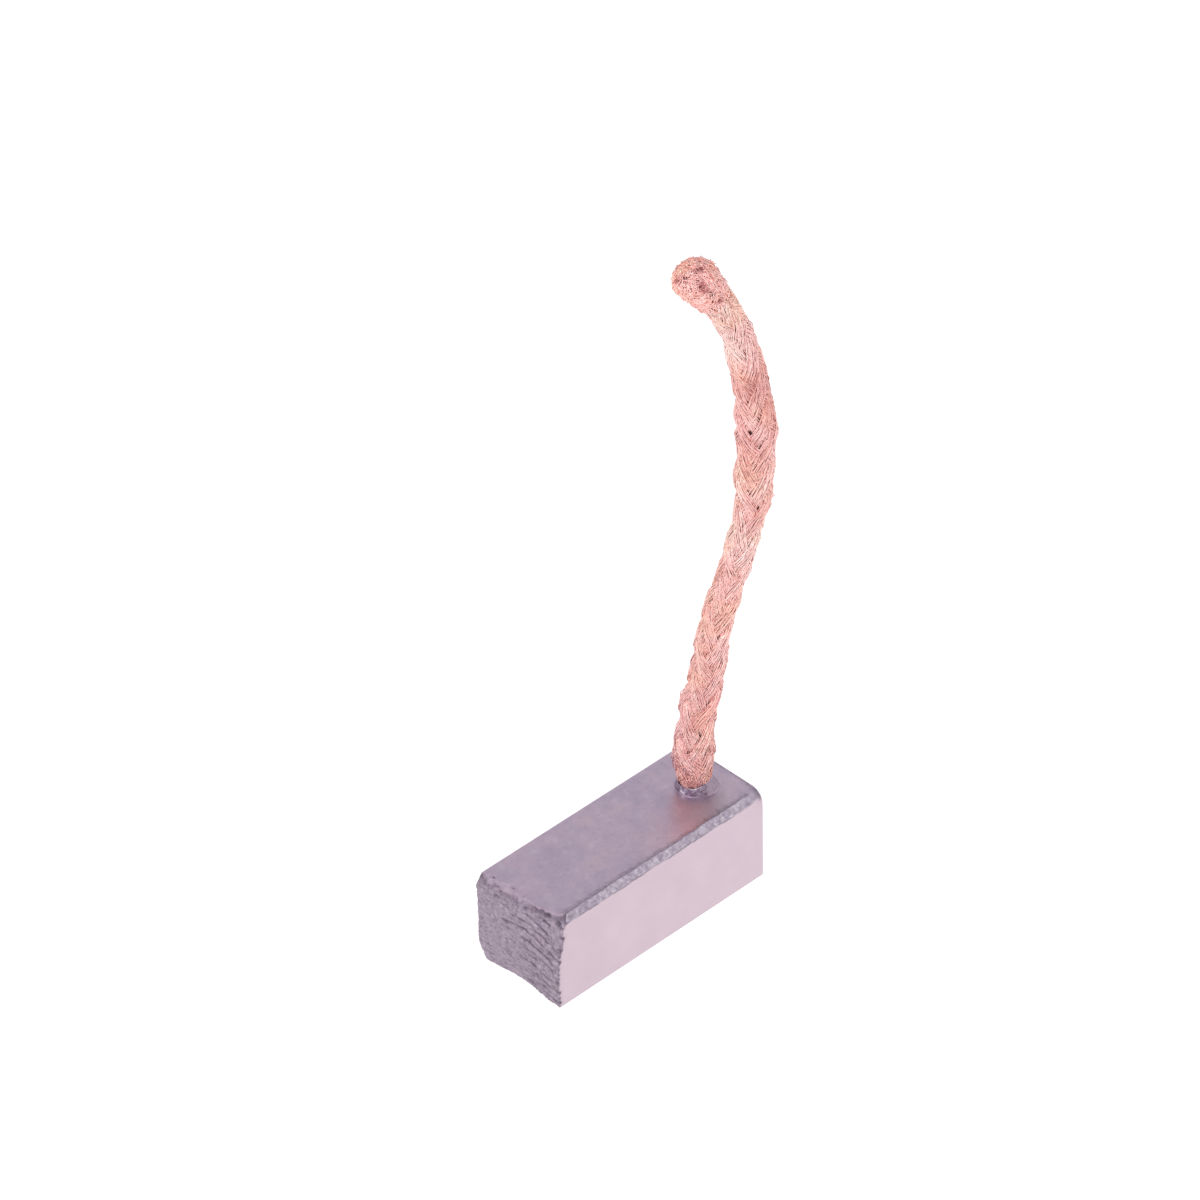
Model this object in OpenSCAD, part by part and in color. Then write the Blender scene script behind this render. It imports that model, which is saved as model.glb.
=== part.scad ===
// Carbon brush with a tamped, braided copper lead.
// Millimetres, +Z up. The block lies on one long side, its length along X.
// Origin: middle of the block's footprint, on the surface it lies on.

/* [Block] */
// Length of the block over everything, along X
block_l = 26; // [22:1:40]
// Width of the block, across the brush holder
block_w = 10; // [8:0.5:14]
// Height of the block as it lies
block_h = 10; // [9:0.5:14]
// Chamfer along the upper front edge
edge_chamfer = 0.65; // [0.3:0.05:0.9]
// Small break on the back and end edges of the top
edge_break = 0.2; // [0.1:0.05:0.4]
// Rounding of the two upright edges at the lead end
corner_r = 0.3; // [0.2:0.1:1]
// Width of the worn rounding under the back long edge
wear_w = 1.1; // [0.5:0.1:1.5]
// Height of the worn rounding under the back long edge
wear_h = 2.2; // [1:0.1:3]

/* [Contact end] */
// Distance from one groove of the rough end to the next
groove_pitch = 0.8; // [0.6:0.1:1.4]
// Depth of the grooves
groove_depth = 0.22; // [0.1:0.02:0.3]
// Fall of the grooves towards the front side, in degrees
groove_tilt = 6; // [0:1:8]
// How far the end is out of square, in degrees
end_skew = 2.5; // [0:0.5:4]
// Slope of the worn upper front of the end, in degrees
worn_rake = 11; // [8:1:14]
// Turn of the worn upper front of the end, in degrees
worn_turn = 9; // [6:1:12]

/* [Lead] */
// Diameter of the braided lead
lead_d = 3.4; // [2.6:0.2:3.6]
// Diameter of the bore that the lead is tamped into
bore_d = 3.8; // [3.8:0.2:5]
// Depth of the bore
bore_depth = 6.5; // [5:0.5:7.5]
// Distance from the bore's axis to the plain end of the block
bore_from_end = 3.7; // [3.3:0.2:5.9]
// How far the tamping compound stands above the block
plug_proud = 0.8; // [0.4:0.1:1]

/* [Hidden] */
$fn = 48;

mouth = [block_l / 2 - bore_from_end, 0, block_h];
lead_seat = 0.5; // compound left under the end of the lead
lead_sides = 8;

// The route of the lead, from its end in the bore to its cut end,
// measured from the middle of the bore's mouth.
route = [
    [0, 0, lead_seat - bore_depth],
    [0, 0, -2],
    [0, 0, plug_proud + 0.2],
    [0.1, 0.1, 2.5],
    [0.2, 0.1, 5],
    [0.4, 0.1, 8],
    [1, -0.2, 11.5],
    [1.4, -0.6, 15],
    [1.9, -0.9, 18],
    [2.6, -1.4, 21.5],
    [3.3, -2, 25],
    [3.9, -2.5, 28.5],
    [4.4, -3, 32],
    [4.5, -3.2, 35.5],
    [4.6, -3.4, 39],
    [4.3, -3.5, 42.5],
    [3.8, -3.5, 46],
    [3, -3.5, 49],
    [1.9, -3.2, 52.5],
    [0.3, -3, 55.5],
    [-1.8, -2.7, 59]
];

// ---- the block ----

// Section across the length: chamfered along the upper front edge and worn
// round under the back.
function section() = [
    [-block_w / 2, 0],
    for (i = [0 : 6]) let (t = i * 15)
        [block_w / 2 - wear_w + wear_w * sin(t), wear_h - wear_h * cos(t)],
    [block_w / 2, block_h - edge_break],
    [block_w / 2 - edge_break, block_h],
    [-block_w / 2 + edge_chamfer, block_h],
    [-block_w / 2, block_h - edge_chamfer]
];

// Side view, with the small break on the top edge of the plain end.
module side_view() {
    polygon([
        [-block_l / 2, 0],
        [block_l / 2, 0],
        [block_l / 2, block_h - edge_break],
        [block_l / 2 - edge_break, block_h],
        [-block_l / 2, block_h]
    ]);
}

// Seen from above: two rounded corners at the plain end.
module plan_view() {
    translate([-block_l / 2, -block_w / 2])
        square([block_l - corner_r, block_w]);
    translate([-block_l / 2, -block_w / 2 + corner_r])
        square([block_l, block_w - 2 * corner_r]);
    for (s = [-1, 1])
        translate([block_l / 2 - corner_r, s * (block_w / 2 - corner_r)])
            circle(r = corner_r);
}

// Grooves differ a little from one to the next, as a coarse saw leaves them.
function groove(i) = groove_depth * (0.75 + 0.25 * sin(i * 137));

// What the rough end leaves out: everything left of a saw-toothed line.
module groove_cut(first, last) {
    rotate([90, 0, 0])
        linear_extrude(height = 3 * block_w, center = true)
            polygon([
                [-8, first * groove_pitch],
                for (i = [first : last]) each [
                    [0, i * groove_pitch],
                    [groove(i), (i + 0.45) * groove_pitch]
                ],
                [0, (last + 1) * groove_pitch],
                [-8, (last + 1) * groove_pitch]
            ]);
}

module brush_block() {
    span = ceil(block_h / groove_pitch);
    color([0.66, 0.6, 0.66])
        difference() {
            intersection() {
                rotate([90, 0, 90])
                    linear_extrude(height = block_l, center = true)
                        polygon(section());
                rotate([90, 0, 0])
                    linear_extrude(height = block_w, center = true)
                        side_view();
                linear_extrude(height = block_h)
                    plan_view();
            }
            translate([-block_l / 2, block_w / 2, block_h / 2])
                rotate([groove_tilt, 0, end_skew])
                    groove_cut(-span, span);
            translate([-block_l / 2 + 0.35, block_w / 2, block_h])
                rotate([groove_tilt, worn_rake, worn_turn])
                    groove_cut(-2 * span, span);
            translate([mouth.x, mouth.y, block_h - bore_depth])
                cylinder(d = bore_d, h = bore_depth + 1);
        }
}

// ---- the tamping compound ----

// It fills the bore round the lead and stands up a little at its mouth.
module tamping_plug() {
    color([0.4, 0.35, 0.42])
        translate(mouth)
            difference() {
                union() {
                    translate([0, 0, -bore_depth])
                        cylinder(d = bore_d, h = bore_depth);
                    cylinder(d1 = bore_d, d2 = bore_d - 0.3, h = plug_proud);
                }
                translate([0, 0, lead_seat - bore_depth])
                    cylinder(d = lead_d, h = bore_depth + 2, $fn = lead_sides);
            }
}

// ---- the lead ----

function unit(v) = v / norm(v);

// Direction of the route at point i: straight at the ends, the mean between.
function heading(p, i) =
    i == 0 ? unit(p[1] - p[0])
    : i == len(p) - 1 ? unit(p[i] - p[i - 1])
    : unit(unit(p[i] - p[i - 1]) + unit(p[i + 1] - p[i]));

// The part of v that is square to d.
function square_to(v, d) = unit(v - (v * d) * d);

// Reference directions carried along the route without twist.
function frames(p, i = 0, last = [1, 0, 0]) =
    i == len(p) ? []
    : let (d = heading(p, i), x = square_to(last, d))
        concat([[x, cross(d, x)]], frames(p, i + 1, x));

// One closed tube through the points p.
module swept_tube(p, r, sides) {
    f = frames(p);
    n = len(p);
    points = [
        for (i = [0 : n - 1], k = [0 : sides - 1]) let (a = k * 360 / sides)
            p[i] + r * (cos(a) * f[i][0] + sin(a) * f[i][1])
    ];
    faces = [
        [for (k = [0 : sides - 1]) k],
        for (i = [0 : n - 2], k = [0 : sides - 1]) let (
            a = i * sides + k,
            b = i * sides + (k + 1) % sides
        ) each [[a, a + sides, b + sides], [a, b + sides, b]],
        [for (k = [0 : sides - 1]) n * sides - 1 - k]
    ];
    polyhedron(points = points, faces = faces, convexity = 4);
}

module pigtail_lead() {
    color([0.9, 0.62, 0.55])
        translate(mouth)
            swept_tube(route, lead_d / 2, lead_sides);
}

brush_block();
tamping_plug();
pigtail_lead();
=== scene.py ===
"""Looks of the carbon brush: a sintered metal-graphite block, its tamped-in
collar and the bare copper lead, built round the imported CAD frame."""

import math

import bpy
import numpy as np
from mathutils import Matrix, Vector


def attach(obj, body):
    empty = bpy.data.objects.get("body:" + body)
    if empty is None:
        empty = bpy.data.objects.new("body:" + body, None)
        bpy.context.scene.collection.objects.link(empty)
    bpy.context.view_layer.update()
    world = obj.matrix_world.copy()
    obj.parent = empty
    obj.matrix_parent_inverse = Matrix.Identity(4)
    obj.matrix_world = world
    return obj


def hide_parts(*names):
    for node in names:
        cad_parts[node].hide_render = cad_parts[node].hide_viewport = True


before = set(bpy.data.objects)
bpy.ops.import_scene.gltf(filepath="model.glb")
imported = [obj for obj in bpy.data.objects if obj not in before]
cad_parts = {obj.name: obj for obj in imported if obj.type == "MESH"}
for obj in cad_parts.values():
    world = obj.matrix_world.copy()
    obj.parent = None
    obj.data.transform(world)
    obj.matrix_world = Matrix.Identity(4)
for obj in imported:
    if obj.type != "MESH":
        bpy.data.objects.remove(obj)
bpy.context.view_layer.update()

MM = 0.001
scene = bpy.context.scene

# ---------------------------------------------------------------- camera

cam_data = bpy.data.cameras.new("camera")
cam_data.sensor_fit = "HORIZONTAL"
cam_data.sensor_width = 36.0
cam_data.lens = 185.46
cam_data.clip_start = 0.02
cam_data.clip_end = 50.0
cam = bpy.data.objects.new("camera", cam_data)
scene.collection.objects.link(cam)
cam_r = Vector((0.72465, -0.68885, -0.01912))
cam_f = Vector((0.52634, 0.57118, -0.62985)).normalized()
cam_r = (cam_r - cam_f * cam_r.dot(cam_f)).normalized()
cam_u = cam_r.cross(cam_f)
cam_at = Vector((-0.284037, -0.306302, 0.375722))
cam.matrix_world = Matrix(
    (
        (cam_r.x, cam_u.x, -cam_f.x, cam_at.x),
        (cam_r.y, cam_u.y, -cam_f.y, cam_at.y),
        (cam_r.z, cam_u.z, -cam_f.z, cam_at.z),
        (0, 0, 0, 1),
    )
)
scene.camera = cam

# ---------------------------------------------------------------- helpers


def lattice(seed):
    return np.random.default_rng(seed).random((32, 32, 32)) * 2 - 1


def value_noise(p, seed):
    """Smooth value noise of points p (..., 3), about -1 to 1."""
    g = lattice(seed)
    p = np.asarray(p, float)
    i = np.floor(p).astype(int)
    f = p - i
    f = f * f * f * (f * (f * 6 - 15) + 10)
    i0 = i & 31
    i1 = (i + 1) & 31
    out = 0.0
    for a, ax in ((i0[..., 0], 1 - f[..., 0]), (i1[..., 0], f[..., 0])):
        for b, bx in ((i0[..., 1], 1 - f[..., 1]), (i1[..., 1], f[..., 1])):
            for c, cx in ((i0[..., 2], 1 - f[..., 2]), (i1[..., 2], f[..., 2])):
                out = out + g[a, b, c] * ax * bx * cx
    return out


def fbm(p, seed, octaves=3, gain=0.5):
    p = np.asarray(p, float)
    total, amp, norm = 0.0, 1.0, 0.0
    for k in range(octaves):
        total = total + amp * value_noise(p * 2.0**k + 7.3 * k, seed + k)
        norm += amp
        amp *= gain
    return total / norm


def smooth(x, a, b):
    t = np.clip((x - a) / (b - a), 0, 1)
    return t * t * (3 - 2 * t)


def make_mesh(name, verts, faces, uv=None, attrs=None, sharp=False):
    """A mesh object from vertices in mm and a list of (n, k) index arrays.
    uv is a list of arrays that match the faces, one (n, k, 2) for each."""
    mesh = bpy.data.meshes.new(name)
    verts = np.asarray(verts, np.float32) * MM
    mesh.vertices.add(len(verts))
    mesh.vertices.foreach_set("co", verts.ravel())
    loops = np.concatenate([np.asarray(f, np.int32).ravel() for f in faces])
    sizes = np.concatenate([np.full(len(f), np.asarray(f).shape[1]) for f in faces])
    starts = np.concatenate([[0], np.cumsum(sizes)[:-1]]).astype(np.int32)
    mesh.loops.add(len(loops))
    mesh.loops.foreach_set("vertex_index", loops.astype(np.int32))
    mesh.polygons.add(len(sizes))
    mesh.polygons.foreach_set("loop_start", starts)
    mesh.update(calc_edges=True)
    if uv is not None:
        layer = mesh.uv_layers.new(name="OFBake")
        flat = np.concatenate([np.asarray(u, np.float32).ravel() for u in uv])
        layer.uv.foreach_set("vector", flat)
    for key, values in (attrs or {}).items():
        a = mesh.attributes.new(key, "FLOAT", "POINT")
        a.data.foreach_set("value", np.asarray(values, np.float32).ravel())
    mesh.validate()
    if not sharp:
        mesh.shade_smooth()
    obj = bpy.data.objects.new(name, mesh)
    scene.collection.objects.link(obj)
    return obj


class Nodes:
    """Short hand for building a material's node tree."""

    def __init__(self, name):
        self.mat = bpy.data.materials.new(name)
        self.mat.use_nodes = True
        self.t = self.mat.node_tree
        self.bsdf = self.t.nodes["Principled BSDF"]

    def add(self, kind, **values):
        n = self.t.nodes.new(kind)
        for k, v in values.items():
            setattr(n, k, v)
        return n

    def link(self, a, b):
        self.t.links.new(a, b)

    def coords(self, scale=(1, 1, 1)):
        tc = self.add("ShaderNodeTexCoord")
        m = self.add("ShaderNodeMapping")
        m.inputs["Scale"].default_value = scale
        self.link(tc.outputs["Object"], m.inputs["Vector"])
        return m.outputs["Vector"]

    def noise(self, vec, scale, detail=3.0, rough=0.55, distortion=0.0):
        n = self.add("ShaderNodeTexNoise")
        n.inputs["Scale"].default_value = scale
        n.inputs["Detail"].default_value = detail
        n.inputs["Roughness"].default_value = rough
        n.inputs["Distortion"].default_value = distortion
        self.link(vec, n.inputs["Vector"])
        return n.outputs["Fac"]

    def ramp(self, fac, stops, mode="LINEAR"):
        n = self.add("ShaderNodeValToRGB")
        n.color_ramp.interpolation = mode
        els = n.color_ramp.elements
        while len(els) < len(stops):
            els.new(0.5)
        for e, (pos, col) in zip(els, stops):
            e.position = pos
            if not hasattr(col, "__len__"):
                col = (col, col, col)
            e.color = (*col[:3], 1)
        self.link(fac, n.inputs["Fac"])
        return n.outputs["Color"]

    def attr(self, name):
        n = self.add("ShaderNodeAttribute", attribute_name=name)
        return n.outputs["Fac"]

    def math(self, op, a, b=None, c=None, clamp=False):
        n = self.add("ShaderNodeMath", operation=op, use_clamp=clamp)
        for k, v in enumerate((a, b, c)):
            if v is None:
                continue
            if isinstance(v, (int, float)):
                n.inputs[k].default_value = v
            else:
                self.link(v, n.inputs[k])
        return n.outputs[0]

    def mix(self, fac, a, b, mode="MIX"):
        n = self.add("ShaderNodeMix", data_type="RGBA", blend_type=mode)
        n.clamp_factor = True
        for s, v in ((n.inputs[0], fac), (n.inputs[6], a), (n.inputs[7], b)):
            if isinstance(v, (int, float)):
                s.default_value = v
            elif isinstance(v, tuple):
                s.default_value = (*v[:3], 1)
            else:
                self.link(v, s)
        return n.outputs[2]

    def bump(self, height, strength, distance, normal=None):
        n = self.add("ShaderNodeBump")
        n.inputs["Strength"].default_value = strength
        n.inputs["Distance"].default_value = distance
        self.link(height, n.inputs["Height"])
        if normal is not None:
            self.link(normal, n.inputs["Normal"])
        return n.outputs["Normal"]


# ---------------------------------------------------------------- the lead's route

# the same points as the CAD route, from the middle of the bore's mouth, in mm
mouth = np.array([9.3, 0.0, 10.0])
route = mouth + np.array(
    [
        [0, 0, -6],
        [0, 0, -2],
        [0, 0, 1],
        [0.1, 0.1, 2.5],
        [0.2, 0.1, 5],
        [0.4, 0.1, 8],
        [1, -0.2, 11.5],
        [1.4, -0.6, 15],
        [1.9, -0.9, 18],
        [2.6, -1.4, 21.5],
        [3.3, -2, 25],
        [3.9, -2.5, 28.5],
        [4.4, -3, 32],
        [4.5, -3.2, 35.5],
        [4.6, -3.4, 39],
        [4.3, -3.5, 42.5],
        [3.8, -3.5, 46],
        [3, -3.5, 49],
        [1.9, -3.2, 52.5],
        [0.3, -3, 55.5],
        [-1.8, -2.7, 59],
    ],
    float,
)


def smooth_route(points, step=0.05):
    """Points every step mm along a smooth curve through the route, with frames."""
    p = np.vstack([2 * points[0] - points[1], points, 2 * points[-1] - points[-2]])
    out = []
    for i in range(1, len(p) - 2):
        p0, p1, p2, p3 = p[i - 1], p[i], p[i + 1], p[i + 2]
        d01, d12, d23 = (
            np.linalg.norm(b - a) ** 0.5 for a, b in ((p0, p1), (p1, p2), (p2, p3))
        )
        m1 = (p2 - p1) + d12 * ((p1 - p0) / d01 - (p2 - p0) / (d01 + d12))
        m2 = (p2 - p1) + d12 * ((p3 - p2) / d23 - (p3 - p1) / (d12 + d23))
        for t in np.linspace(0, 1, 80, endpoint=False):
            out.append(
                (2 * t**3 - 3 * t**2 + 1) * p1
                + (t**3 - 2 * t**2 + t) * m1
                + (-2 * t**3 + 3 * t**2) * p2
                + (t**3 - t**2) * m2
            )
    out.append(p[-2])
    out = np.array(out)
    run = np.concatenate([[0], np.cumsum(np.linalg.norm(np.diff(out, axis=0), axis=1))])
    n = int(run[-1] / step) + 1
    l = np.linspace(0, run[-1], n)
    c = np.stack([np.interp(l, run, out[:, k]) for k in range(3)], -1)
    # 4 mm more, straight on, for the loose wires of the cut end
    t_end = c[-1] - c[-2]
    t_end /= np.linalg.norm(t_end)
    extra = np.arange(1, 81)[:, None] * step
    c = np.vstack([c, c[-1] + extra * t_end])
    l = np.concatenate([l, l[-1] + extra[:, 0]])
    for _ in range(12):
        c[1:-1] = 0.25 * c[:-2] + 0.5 * c[1:-1] + 0.25 * c[2:]
    t = np.gradient(c, axis=0)
    t /= np.linalg.norm(t, axis=1)[:, None]
    nrm = np.zeros_like(c)
    v = np.array([1.0, 0.0, 0.0])
    for i in range(len(c)):
        v = v - t[i] * (v @ t[i])
        v /= np.linalg.norm(v)
        nrm[i] = v
    return l, c, t, nrm, np.cross(t, nrm), run[-1]


line_l, line_c, line_t, line_n, line_b, lead_length = smooth_route(route)


def at(l, table):
    return np.stack([np.interp(l, line_l, table[:, k]) for k in range(3)], -1)


# half width of the lead at distances from the bottom of the bore, in mm
HALF = np.array(
    [
        [0, 1.5],
        [5.8, 1.5],
        [6.5, 1.58],
        [7.4, 1.64],
        [8.2, 1.76],
        [9.2, 1.88],
        [10.2, 1.95],
        [11.8, 1.90],
        [13.5, 1.75],
        [16, 1.77],
        [18.6, 1.66],
        [20, 1.64],
        [22, 1.62],
        [24, 1.56],
        [27, 1.55],
        [29.5, 1.36],
        [31, 1.38],
        [33, 1.52],
        [36, 1.47],
        [37.5, 1.48],
        [39.2, 1.72],
        [41, 1.84],
        [43, 1.82],
        [44.4, 1.74],
        [46, 1.95],
        [48, 1.97],
        [50, 1.70],
        [53, 1.62],
        [55, 1.67],
        [57, 1.48],
        [59, 1.44],
        [61, 1.48],
        [63, 1.54],
        [72, 1.7],
    ]
)
# how far the lead strays to the side of its route, towards (0.72, -0.69, 0), in mm
STRAY = np.array(
    [
        [0, 0],
        [6, 0],
        [7.2, -0.06],
        [10, -0.05],
        [12, 0.02],
        [14, 0.06],
        [16, 0.14],
        [18, 0.18],
        [20, 0.18],
        [22, 0.12],
        [24, 0.04],
        [28, 0.02],
        [32, 0.08],
        [34, 0.15],
        [38, 0.15],
        [42, 0.1],
        [47, 0.12],
        [50, 0.03],
        [55, 0.05],
        [58, 0.16],
        [60, 0.20],
        [63, 0.30],
        [65, 0.18],
        [67, 0.0],
        [68.2, -0.15],
        [72, -0.15],
    ]
)


def half_width(l):
    return np.interp(l, HALF[:, 0], HALF[:, 1])


def middle(l):
    """The lead's own middle at distance l."""
    off = np.interp(l, STRAY[:, 0], STRAY[:, 1])
    return at(l, line_c) + off[..., None] * np.array([0.72, -0.69, 0.0])


# ---------------------------------------------------------------- copper wires

CARRIERS = 6  # flat bundles each way round
PITCH = 22.0
WIRE = 0.10
HEAD = 1.85  # half width of the cut end, to the middle of its outer wires

# outline of the matted cut end: distance past the route's end, half width
MAT = np.array(
    [
        [-3.6, 1.54],
        [-2.8, 1.60],
        [-2.0, 1.68],
        [-1.2, 1.80],
        [-0.4, 1.92],
        [0.1, 1.93],
        [0.5, 1.81],
        [0.8, 1.56],
        [1.0, 1.18],
        [1.1, 0.70],
        [1.14, 0.0],
    ]
)


# paler and darker stretches, partly the copper's own tone and partly painted light and shade: distance, then on
# the left, in the middle and on the right
TONE_AND_LIGHT = np.array(
    [
        [0, 0, 0, 0],
        [11, 0, 0, 0],
        [12.7, -0.05, 0, -0.25],
        [16.4, -0.2, -0.3, -0.3],
        [20, 0, -0.15, -0.1],
        [24, 0, 0, 0],
        [31, -0.1, 0, 0],
        [35, 0.3, 0.2, 0.3],
        [38.4, -0.05, -0.22, -0.05],
        [42, 0.1, 0.1, -0.05],
        [45.6, -0.35, -0.25, -0.15],
        [49.3, -0.25, 0.25, -0.15],
        [53, -0.1, -0.55, -0.15],
        [57, 0.2, 0.5, 0.15],
        [61, 0.1, 0.1, 0.2],
        [72, 0.1, 0.1, 0.2],
    ]
)


def wander(nw, l, waves, amp, r):
    """Smooth random offsets for nw wires at distances l (nw, ns)."""
    out = np.zeros_like(l)
    for lo, hi, share in waves:
        w = r.uniform(lo, hi, (nw, 1))
        ph = r.uniform(0, 2 * np.pi, (nw, 1))
        out += share * np.sin(2 * np.pi * l / w + ph)
    return amp * out


def cut_spots(nw, lo, hi, r):
    """Where each wire ends in the cut end, from its middle, and its length."""
    spot = np.sqrt(r.uniform(lo, hi, nw)) * HEAD
    dome = np.interp(spot, MAT[::-1][:7, 1], MAT[::-1][:7, 0])
    return spot, lead_length + dome - 0.12 - r.uniform(0.0, 0.5, nw)


def stations(end, fine_from):
    """Distances along each wire: coarse in the bore, even along the lead, fine in the cut end."""
    base = np.concatenate(
        [[0, 2, 4, 5.3], np.arange(6.0, fine_from, 0.68), [fine_from]]
    )
    tail = np.linspace(0, 1, 19)[1:]
    l = np.empty((len(end), len(base) + len(tail)))
    l[:, : len(base)] = base
    l[:, len(base) :] = fine_from + tail * (end[:, None] - fine_from)
    return l


def carrier_angle(s, k, l):
    turn = 2 * np.pi * l / PITCH
    drift = 0.13 * np.sin(2 * np.pi * l / (17 + 2.3 * k) + 1.7 * k + s) + 0.09 * np.sin(
        2 * np.pi * l / (7.3 + 0.9 * k) + 2.9 * k - s
    )
    return s * turn + 2 * np.pi * k / CARRIERS + drift


def over_under(s, k, l):
    q = 2 * CARRIERS * l / PITCH
    u = 2 * k + s * q - 0.5
    return s * np.tanh(1.8 * np.cos(np.pi / 2 * u)) + 0.25 * s


def lay_wires(phi, rad, l, end, spot, r):
    """Positions of wires round the lead's middle, spread out in the cut end."""
    nw = len(end)
    end = end[:, None]
    spot = spot[:, None]
    f = smooth(l, lead_length - 3.4, lead_length + 0.6)
    rad = rad * (1 - f) + spot * f
    phi = phi + f * r.normal(0, 0.3, (nw, 1))
    n, b, t = (at(l, x) for x in (line_n, line_b, line_t))
    pos = middle(l) + (rad * np.cos(phi))[..., None] * n + (rad * np.sin(phi))[..., None] * b
    for k in range(3):
        pos[..., k] += f * wander(nw, l, ((1.6, 3.0, 0.10), (0.8, 1.4, 0.05)), 1.0, r)
    # tips bent over to all sides
    tip = np.clip((l - (end - 0.9)) / 0.9, 0, 1) ** 2
    a = r.uniform(0, 2 * np.pi, (nw, 1))
    m = r.uniform(0.10, 0.45, (nw, 1))
    side = np.cos(a)[..., None] * n + np.sin(a)[..., None] * b
    pos += (tip * m)[..., None] * side
    pos -= (tip * 0.35 * m)[..., None] * t
    return pos


def mouth_room(l, phi):
    """How far out wires may lie inside the collar, whose rim is higher on one side."""
    rim = 7.0 + 0.3 * smooth(np.cos(phi - math.radians(290)), -0.2, 0.7)
    return np.interp(l - rim, [-0.1, 0.35], [1.44, 4.0])


def tubes(name, pos, radius, sides, tone, material, extra=None):
    """Closed tubes along pos (nw, ns, 3) as one mesh."""
    nw, ns, _ = pos.shape
    t = np.gradient(pos, axis=1)
    t /= np.linalg.norm(t, axis=2)[..., None]
    ref = np.empty_like(t)
    v = np.zeros((nw, 3))
    v[:, 0] = 1.0
    v[:, 1] = 0.3
    for i in range(ns):
        v = v - t[:, i] * np.sum(v * t[:, i], axis=1)[:, None]
        v /= np.linalg.norm(v, axis=1)[:, None]
        ref[:, i] = v
    bit = np.cross(t, ref)
    a = 2 * np.pi * np.arange(sides) / sides
    ring = (
        ref[:, :, None, :] * np.cos(a)[None, None, :, None]
        + bit[:, :, None, :] * np.sin(a)[None, None, :, None]
    )
    verts = pos[:, :, None, :] + ring * radius[..., None, None]
    idx = np.arange(nw * ns * sides).reshape(nw, ns, sides)
    nxt = np.roll(idx, -1, axis=2)
    quads = np.stack(
        [idx[:, :-1], nxt[:, :-1], nxt[:, 1:], idx[:, 1:]], axis=-1
    ).reshape(-1, 4)
    u = np.linspace(0.004, 0.996, ns)
    k = np.arange(sides)
    w = np.arange(nw)[:, None]
    v0 = (w + 0.06 + 0.88 * k[None, :] / sides) / nw
    v1 = (w + 0.06 + 0.88 * (k[None, :] + 1) / sides) / nw
    shape = (nw, ns - 1, sides)
    u0 = np.broadcast_to(u[:-1][None, :, None], shape)
    u1 = np.broadcast_to(u[1:][None, :, None], shape)
    va = np.broadcast_to(v0[:, None, :], shape)
    vb = np.broadcast_to(v1[:, None, :], shape)
    quv = np.stack(
        [
            np.stack([u0, va], -1),
            np.stack([u0, vb], -1),
            np.stack([u1, vb], -1),
            np.stack([u1, va], -1),
        ],
        axis=-2,
    ).reshape(-1, 4, 2)
    caps0 = idx[:, 0, ::-1]
    caps1 = idx[:, -1, :]
    cap_v = (w + 0.2 + 0.6 * (k[None, :] % 2)) / nw
    cu = 0.0015 * (k[None, :] // 2 % 2) + 0 * w
    cuv0 = np.stack([cu, cap_v], -1)
    cuv1 = np.stack([0.998 + cu, cap_v], -1)
    attrs = {"tone": np.broadcast_to(tone[..., None], (nw, ns, sides))}
    for key, val in (extra or {}).items():
        attrs[key] = np.broadcast_to(val[..., None], (nw, ns, sides))
    obj = make_mesh(
        name,
        verts.reshape(-1, 3),
        [quads, caps0, caps1],
        [quv, cuv0, cuv1],
        attrs,
    )
    obj.data.materials.append(material)
    return obj


def copper(name, tones):
    m = Nodes(name)
    b = m.bsdf
    vec = m.coords()
    tone = m.attr("tone")
    deep = m.attr("deep")
    # colour drifts along the lead, from wire to wire, and goes darker in small spots and flecks
    big = m.noise(vec, 230, 2.0, 0.5)
    small = m.noise(vec, 1500, 4.0, 0.65)
    base = m.ramp(tone, tones)
    warm = m.mix(1.0, base, (1.0, 0.96, 0.86), "MULTIPLY")
    col = m.mix(m.ramp(big, ((0.42, 0.0), (0.66, 1.0))), base, warm)
    spots = m.ramp(small, ((0.33, 1.0), (0.47, 0.0)))
    col = m.mix(m.math("MULTIPLY", spots, 0.40), col, (0.60, 0.25, 0.23))
    fleck = m.ramp(m.noise(vec, 4000, 2.0, 0.6), ((0.36, 1.0), (0.45, 0.0)))
    col = m.mix(m.math("MULTIPLY", fleck, 0.45), col, (0.58, 0.24, 0.22))
    # painted shade: dark red where the deep attribute marks wires down in the bore, inside the braid and in the
    # cut end's hollows
    col = m.mix(m.math("MULTIPLY", deep, 0.9), col, (0.42, 0.11, 0.11))
    m.link(col, b.inputs["Base Color"])
    b.inputs["Metallic"].default_value = 0.85
    rough = m.math("MULTIPLY_ADD", small, 0.22, 0.31)
    m.link(rough, b.inputs["Roughness"])
    fine = m.noise(vec, 5200, 2.0, 0.6)
    m.link(m.bump(fine, 0.25, 0.00002), b.inputs["Normal"])
    return m.mat


copper_mat = copper(
    "bare_copper_wire",
    (
        (0.0, (0.78, 0.40, 0.38)),
        (0.30, (0.91, 0.55, 0.515)),
        (0.65, (0.97, 0.65, 0.61)),
        (1.0, (0.99, 0.80, 0.75)),
    ),
)
# the cut and broken wires: a redder copper, painted to stand in for the redder light between their tips
felt_mat = copper(
    "frayed_copper_wire",
    (
        (0.0, (0.88, 0.42, 0.38)),
        (0.30, (0.96, 0.53, 0.485)),
        (0.65, (0.995, 0.63, 0.575)),
        (1.0, (1.0, 0.80, 0.73)),
    ),
)


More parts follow.
